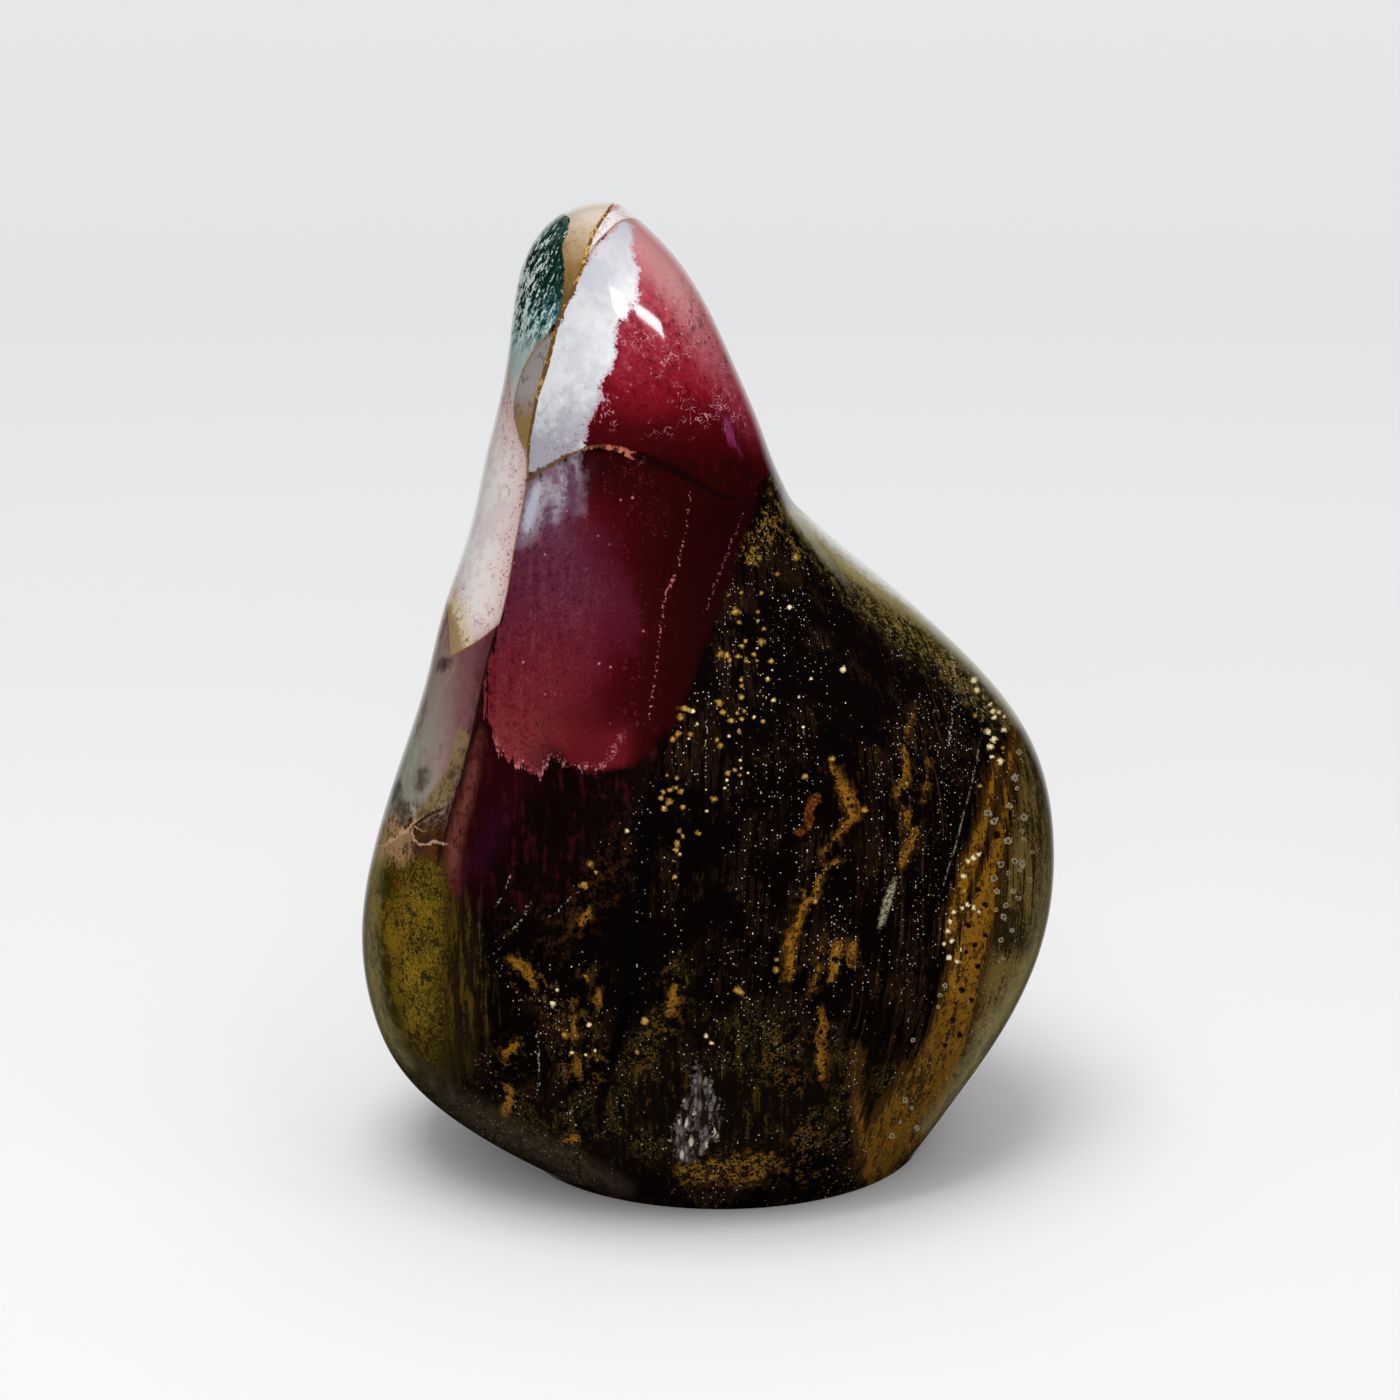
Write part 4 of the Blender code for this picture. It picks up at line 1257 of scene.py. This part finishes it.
def paint_threads(p):
    """The veins, the cracks and the strings of crumbs."""
    crumbs = p.coarse.rise(-0.02, 0.08)
    vein = p.thread("gold_vein", 0.4)
    gold = p.over((104, 74, 34), (190, 150, 78), p.coarse.rise(0.02, 0.14))
    yield p.over((84, 56, 26), gold, vein.rise(0.5, 1.0)), vein
    yield (140, 110, 74), p.thread("tan_threads", 0.25, 0.65)
    crack = p.x.ramp(TONES["crack"])
    peach = p.across("peach_start", top=0.85) * p.across("peach_end") * crumbs
    yield p.over(crack, (190, 108, 90), peach), p.thread("cross_crack", 1.2, 0.9)
    yield (34, 16, 14), p.thread("dark_threads", 0.5, 0.85)
    yield (160, 150, 120), p.thread("pale_threads", 0.25, 0.5) * p.coarse.rise(-0.06, 0.1)
    yield (190, 148, 120), p.thread("peach_crack", 1.2, 0.85)
    dots = p.noise(0.28, 1.0, 0.5).rise(0.03, 0.1)
    pink = p.over((192, 108, 112), (206, 198, 178), p.down("pale_dots").most(p.across("pale_dots")))
    yield pink, p.thread("dotted_threads", 1.2, 0.6) * dots


def paint_rims(p):
    """Painted light at the rims: a reflection of the white floor on the lower left rim, a sheen along the side
    rims that is partly the stone's own yellowish edge, and a sheen on the shoulder that is partly its milky
    edge.
    """
    # Painted reflection of the white floor on the lower left rim.
    milky = p.field("floor_reflection_rim", 2.0 * p.rough, p.ragged).rise(-1.0, 1.2, 0.6)
    yield p.over((66, 56, 44), (32, 26, 18), p.coarse.rise(-0.1, 0.14)), milky
    # Painted sheen along the side rims, partly the stone's own yellowish edge.
    yield (158, 148, 104), p.field("side_rim_sheen", 2.0 * p.rough, p.ragged).rise(-1.0, 1.7, 0.6)
    # Painted sheen on the shoulder, partly the stone's milky edge.
    milky = p.field("shoulder_sheen", 1.4 * p.rough, 0.6 * p.ragged)
    yield milky.ramp(TONES["shoulder_sheen_tones"]), milky.rise(-1.2, 0.2)


PAINTING = (
    paint_ground, paint_ochre, paint_specks, paint_beads, paint_corner, paint_flank, paint_maroon, paint_reds,
    paint_crimson, paint_milk, paint_caps, paint_patch, paint_threads, paint_rims,
)


def jasper_material():
    """Polished stone. Each painter gives its coats, a colour and its cover, to lay over those before them."""
    material = bpy.data.materials.new("polished_jasper")
    material.use_nodes = True
    tree = material.node_tree
    finish = tree.nodes["Principled BSDF"]
    p = Palette(tree)
    stone = DARK_BODY
    for paint in PAINTING:
        for top, cover in paint(p):
            stone = p.over(stone, top, cover)
    feed(stone, finish.inputs["Base Color"])
    finish.inputs["Roughness"].default_value = POLISH
    finish.inputs["IOR"].default_value = STONE_IOR
    return material


def make_stone():
    mesh, points = grid_mesh("jasper_surface", with_base(stone_grid()))
    add_face_fields(mesh, points)
    mesh.materials.append(jasper_material())
    stone = bpy.data.objects.new("jasper_surface", mesh)
    bpy.context.scene.collection.objects.link(stone)
    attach(stone, "root")
    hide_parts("stone")
    return stone


# The studio

FLOOR_COLOUR = (244, 243, 244)
FLOOR_HALF = 1.2
FLOOR_FADE = (0.1, 0.42)

# What the camera sees behind the stone, by how steeply it looks, from straight down at -1.
BACKDROP = (
    (-0.45, (243, 242, 243)), (-0.28, (240, 240, 241)), (-0.08, (226, 227, 229)), (0.06, (231, 231, 233)),
)

# The even light, and how much more of it comes from above: between which heights it grows, and by how much.
EVEN_LIGHT = 0.17
LIGHT_ABOVE = (-0.1, 1.0, 0.76)

# The room that the polish mirrors: nearly dark, and bright where it lies straight behind and isn't low.
DARK_ROOM = 0.003
BRIGHT_BEHIND = (0.78, 0.97)
BRIGHT_ABOVE = (-0.9, -0.4)

# Lamps by place, direction of the long side, size, power and whether they are mirrored or light the stone.
LAMPS = {
    "overhead": ((-0.12, -0.1, 0.8), (1, 0, 0), (0.4, 0.4), 2.6, False),
    "front_fill": ((-0.05, -0.8, 0.2), (1, 0, 0), (0.5, 0.4), 2.2, False),
    "round_glint": ((0.0012, -0.0448, 0.1145), (1, 0, 0), (0.012, 0.010), 0.005, True),
    "long_glint": ((0.0245, -0.0352, 0.1141), (0.243, 0.219, -0.134), (0.023, 0.005), 0.008, True),
}
LAMPS_FACE = Vector((0, 0, 0.06))
NEAREST_SEEN = 0.01


def make_floor():
    """A pale plane that fades out into the backdrop, so that no edge of it shows from any side."""
    bpy.ops.mesh.primitive_plane_add(size=2 * FLOOR_HALF)
    floor = bpy.context.object
    floor.name = "studio_floor"
    floor.visible_glossy = False
    material = bpy.data.materials.new("pale_floor")
    material.use_nodes = True
    tree = material.node_tree
    finish = tree.nodes["Principled BSDF"]
    finish.inputs["Base Color"].default_value = colour(*FLOOR_COLOUR)
    finish.inputs["Roughness"].default_value = 1.0
    finish.inputs["Specular IOR Level"].default_value = 0.0
    place = add_node(tree, "TexCoord", {}).outputs["Object"]
    reach = add_node(tree, "VectorMath", {0: place}, operation="LENGTH")
    fade = Channel(reach.outputs["Value"]).rise(*FLOOR_FADE)
    clear = add_node(tree, "BsdfTransparent", {})
    blend = add_node(tree, "MixShader", {0: fade, 1: finish.outputs[0], 2: clear.outputs[0]})
    feed(blend.outputs[0], tree.nodes["Material Output"].inputs["Surface"])
    floor.data.materials.append(material)


def make_world():
    """A pale backdrop, an even light, and a room to be mirrored that is dark in front and bright behind."""
    world = bpy.data.worlds.new("studio")
    bpy.context.scene.world = world
    world.use_nodes = True
    tree = world.node_tree
    tree.nodes.clear()
    direction = add_node(tree, "TexCoord", {}).outputs["Generated"]
    _, y, z = (Channel(socket) for socket in add_node(tree, "SeparateXYZ", {0: direction}).outputs)
    ray = add_node(tree, "LightPath", {})

    def lit(**inputs):
        return add_node(tree, "Background", inputs).outputs[0]

    def either(choice, no, yes):
        return add_node(tree, "MixShader", {0: ray.outputs[choice], 1: no, 2: yes}).outputs[0]

    backdrop = lit(Color=z.ramp(BACKDROP), Strength=1.0)
    even = lit(Strength=EVEN_LIGHT + z.rise(*LIGHT_ABOVE))
    room = lit(Strength=DARK_ROOM + y.rise(*BRIGHT_BEHIND) * z.rise(*BRIGHT_ABOVE))
    seen_from_here = either("Is Camera Ray", either("Is Glossy Ray", even, room), backdrop)
    add_node(tree, "OutputWorld", {"Surface": seen_from_here})


def add_lamp(name, place, across, size, power, mirrored):
    """A lamp that faces the middle of the stone, its long side along across."""
    data = bpy.data.lights.new(name, "AREA")
    data.shape = "RECTANGLE"
    data.size, data.size_y = size
    data.energy = power
    data.diffuse_factor = 0.0 if mirrored else 1.0
    lamp = bpy.data.objects.new(name, data)
    lamp.visible_glossy = mirrored
    lamp.visible_camera = False
    away = (Vector(place) - LAMPS_FACE).normalized()
    along = (Vector(across) - Vector(across).dot(away) * away).normalized()
    axes = Matrix((along, away.cross(along), away)).transposed().to_4x4()
    lamp.matrix_world = Matrix.Translation(place) @ axes
    bpy.context.scene.collection.objects.link(lamp)


def make_camera():
    data = bpy.data.cameras.new("face_view")
    data.sensor_width = SENSOR_WIDTH
    data.lens = SENSOR_WIDTH * VIEW_FOCAL / VIEW_SIDE
    data.clip_start = NEAREST_SEEN
    camera = bpy.data.objects.new("face_view", data)
    camera.location = VIEW_PLACE * MM
    camera.rotation_mode = "QUATERNION"
    camera.rotation_quaternion = Vector(VIEW_AHEAD).to_track_quat("-Z", "Y")
    bpy.context.scene.collection.objects.link(camera)
    bpy.context.scene.camera = camera


make_stone()
make_floor()
make_world()
for lamp_name, lamp in LAMPS.items():
    add_lamp(lamp_name, *lamp)
make_camera()
bpy.context.scene.view_settings.view_transform = "Standard"
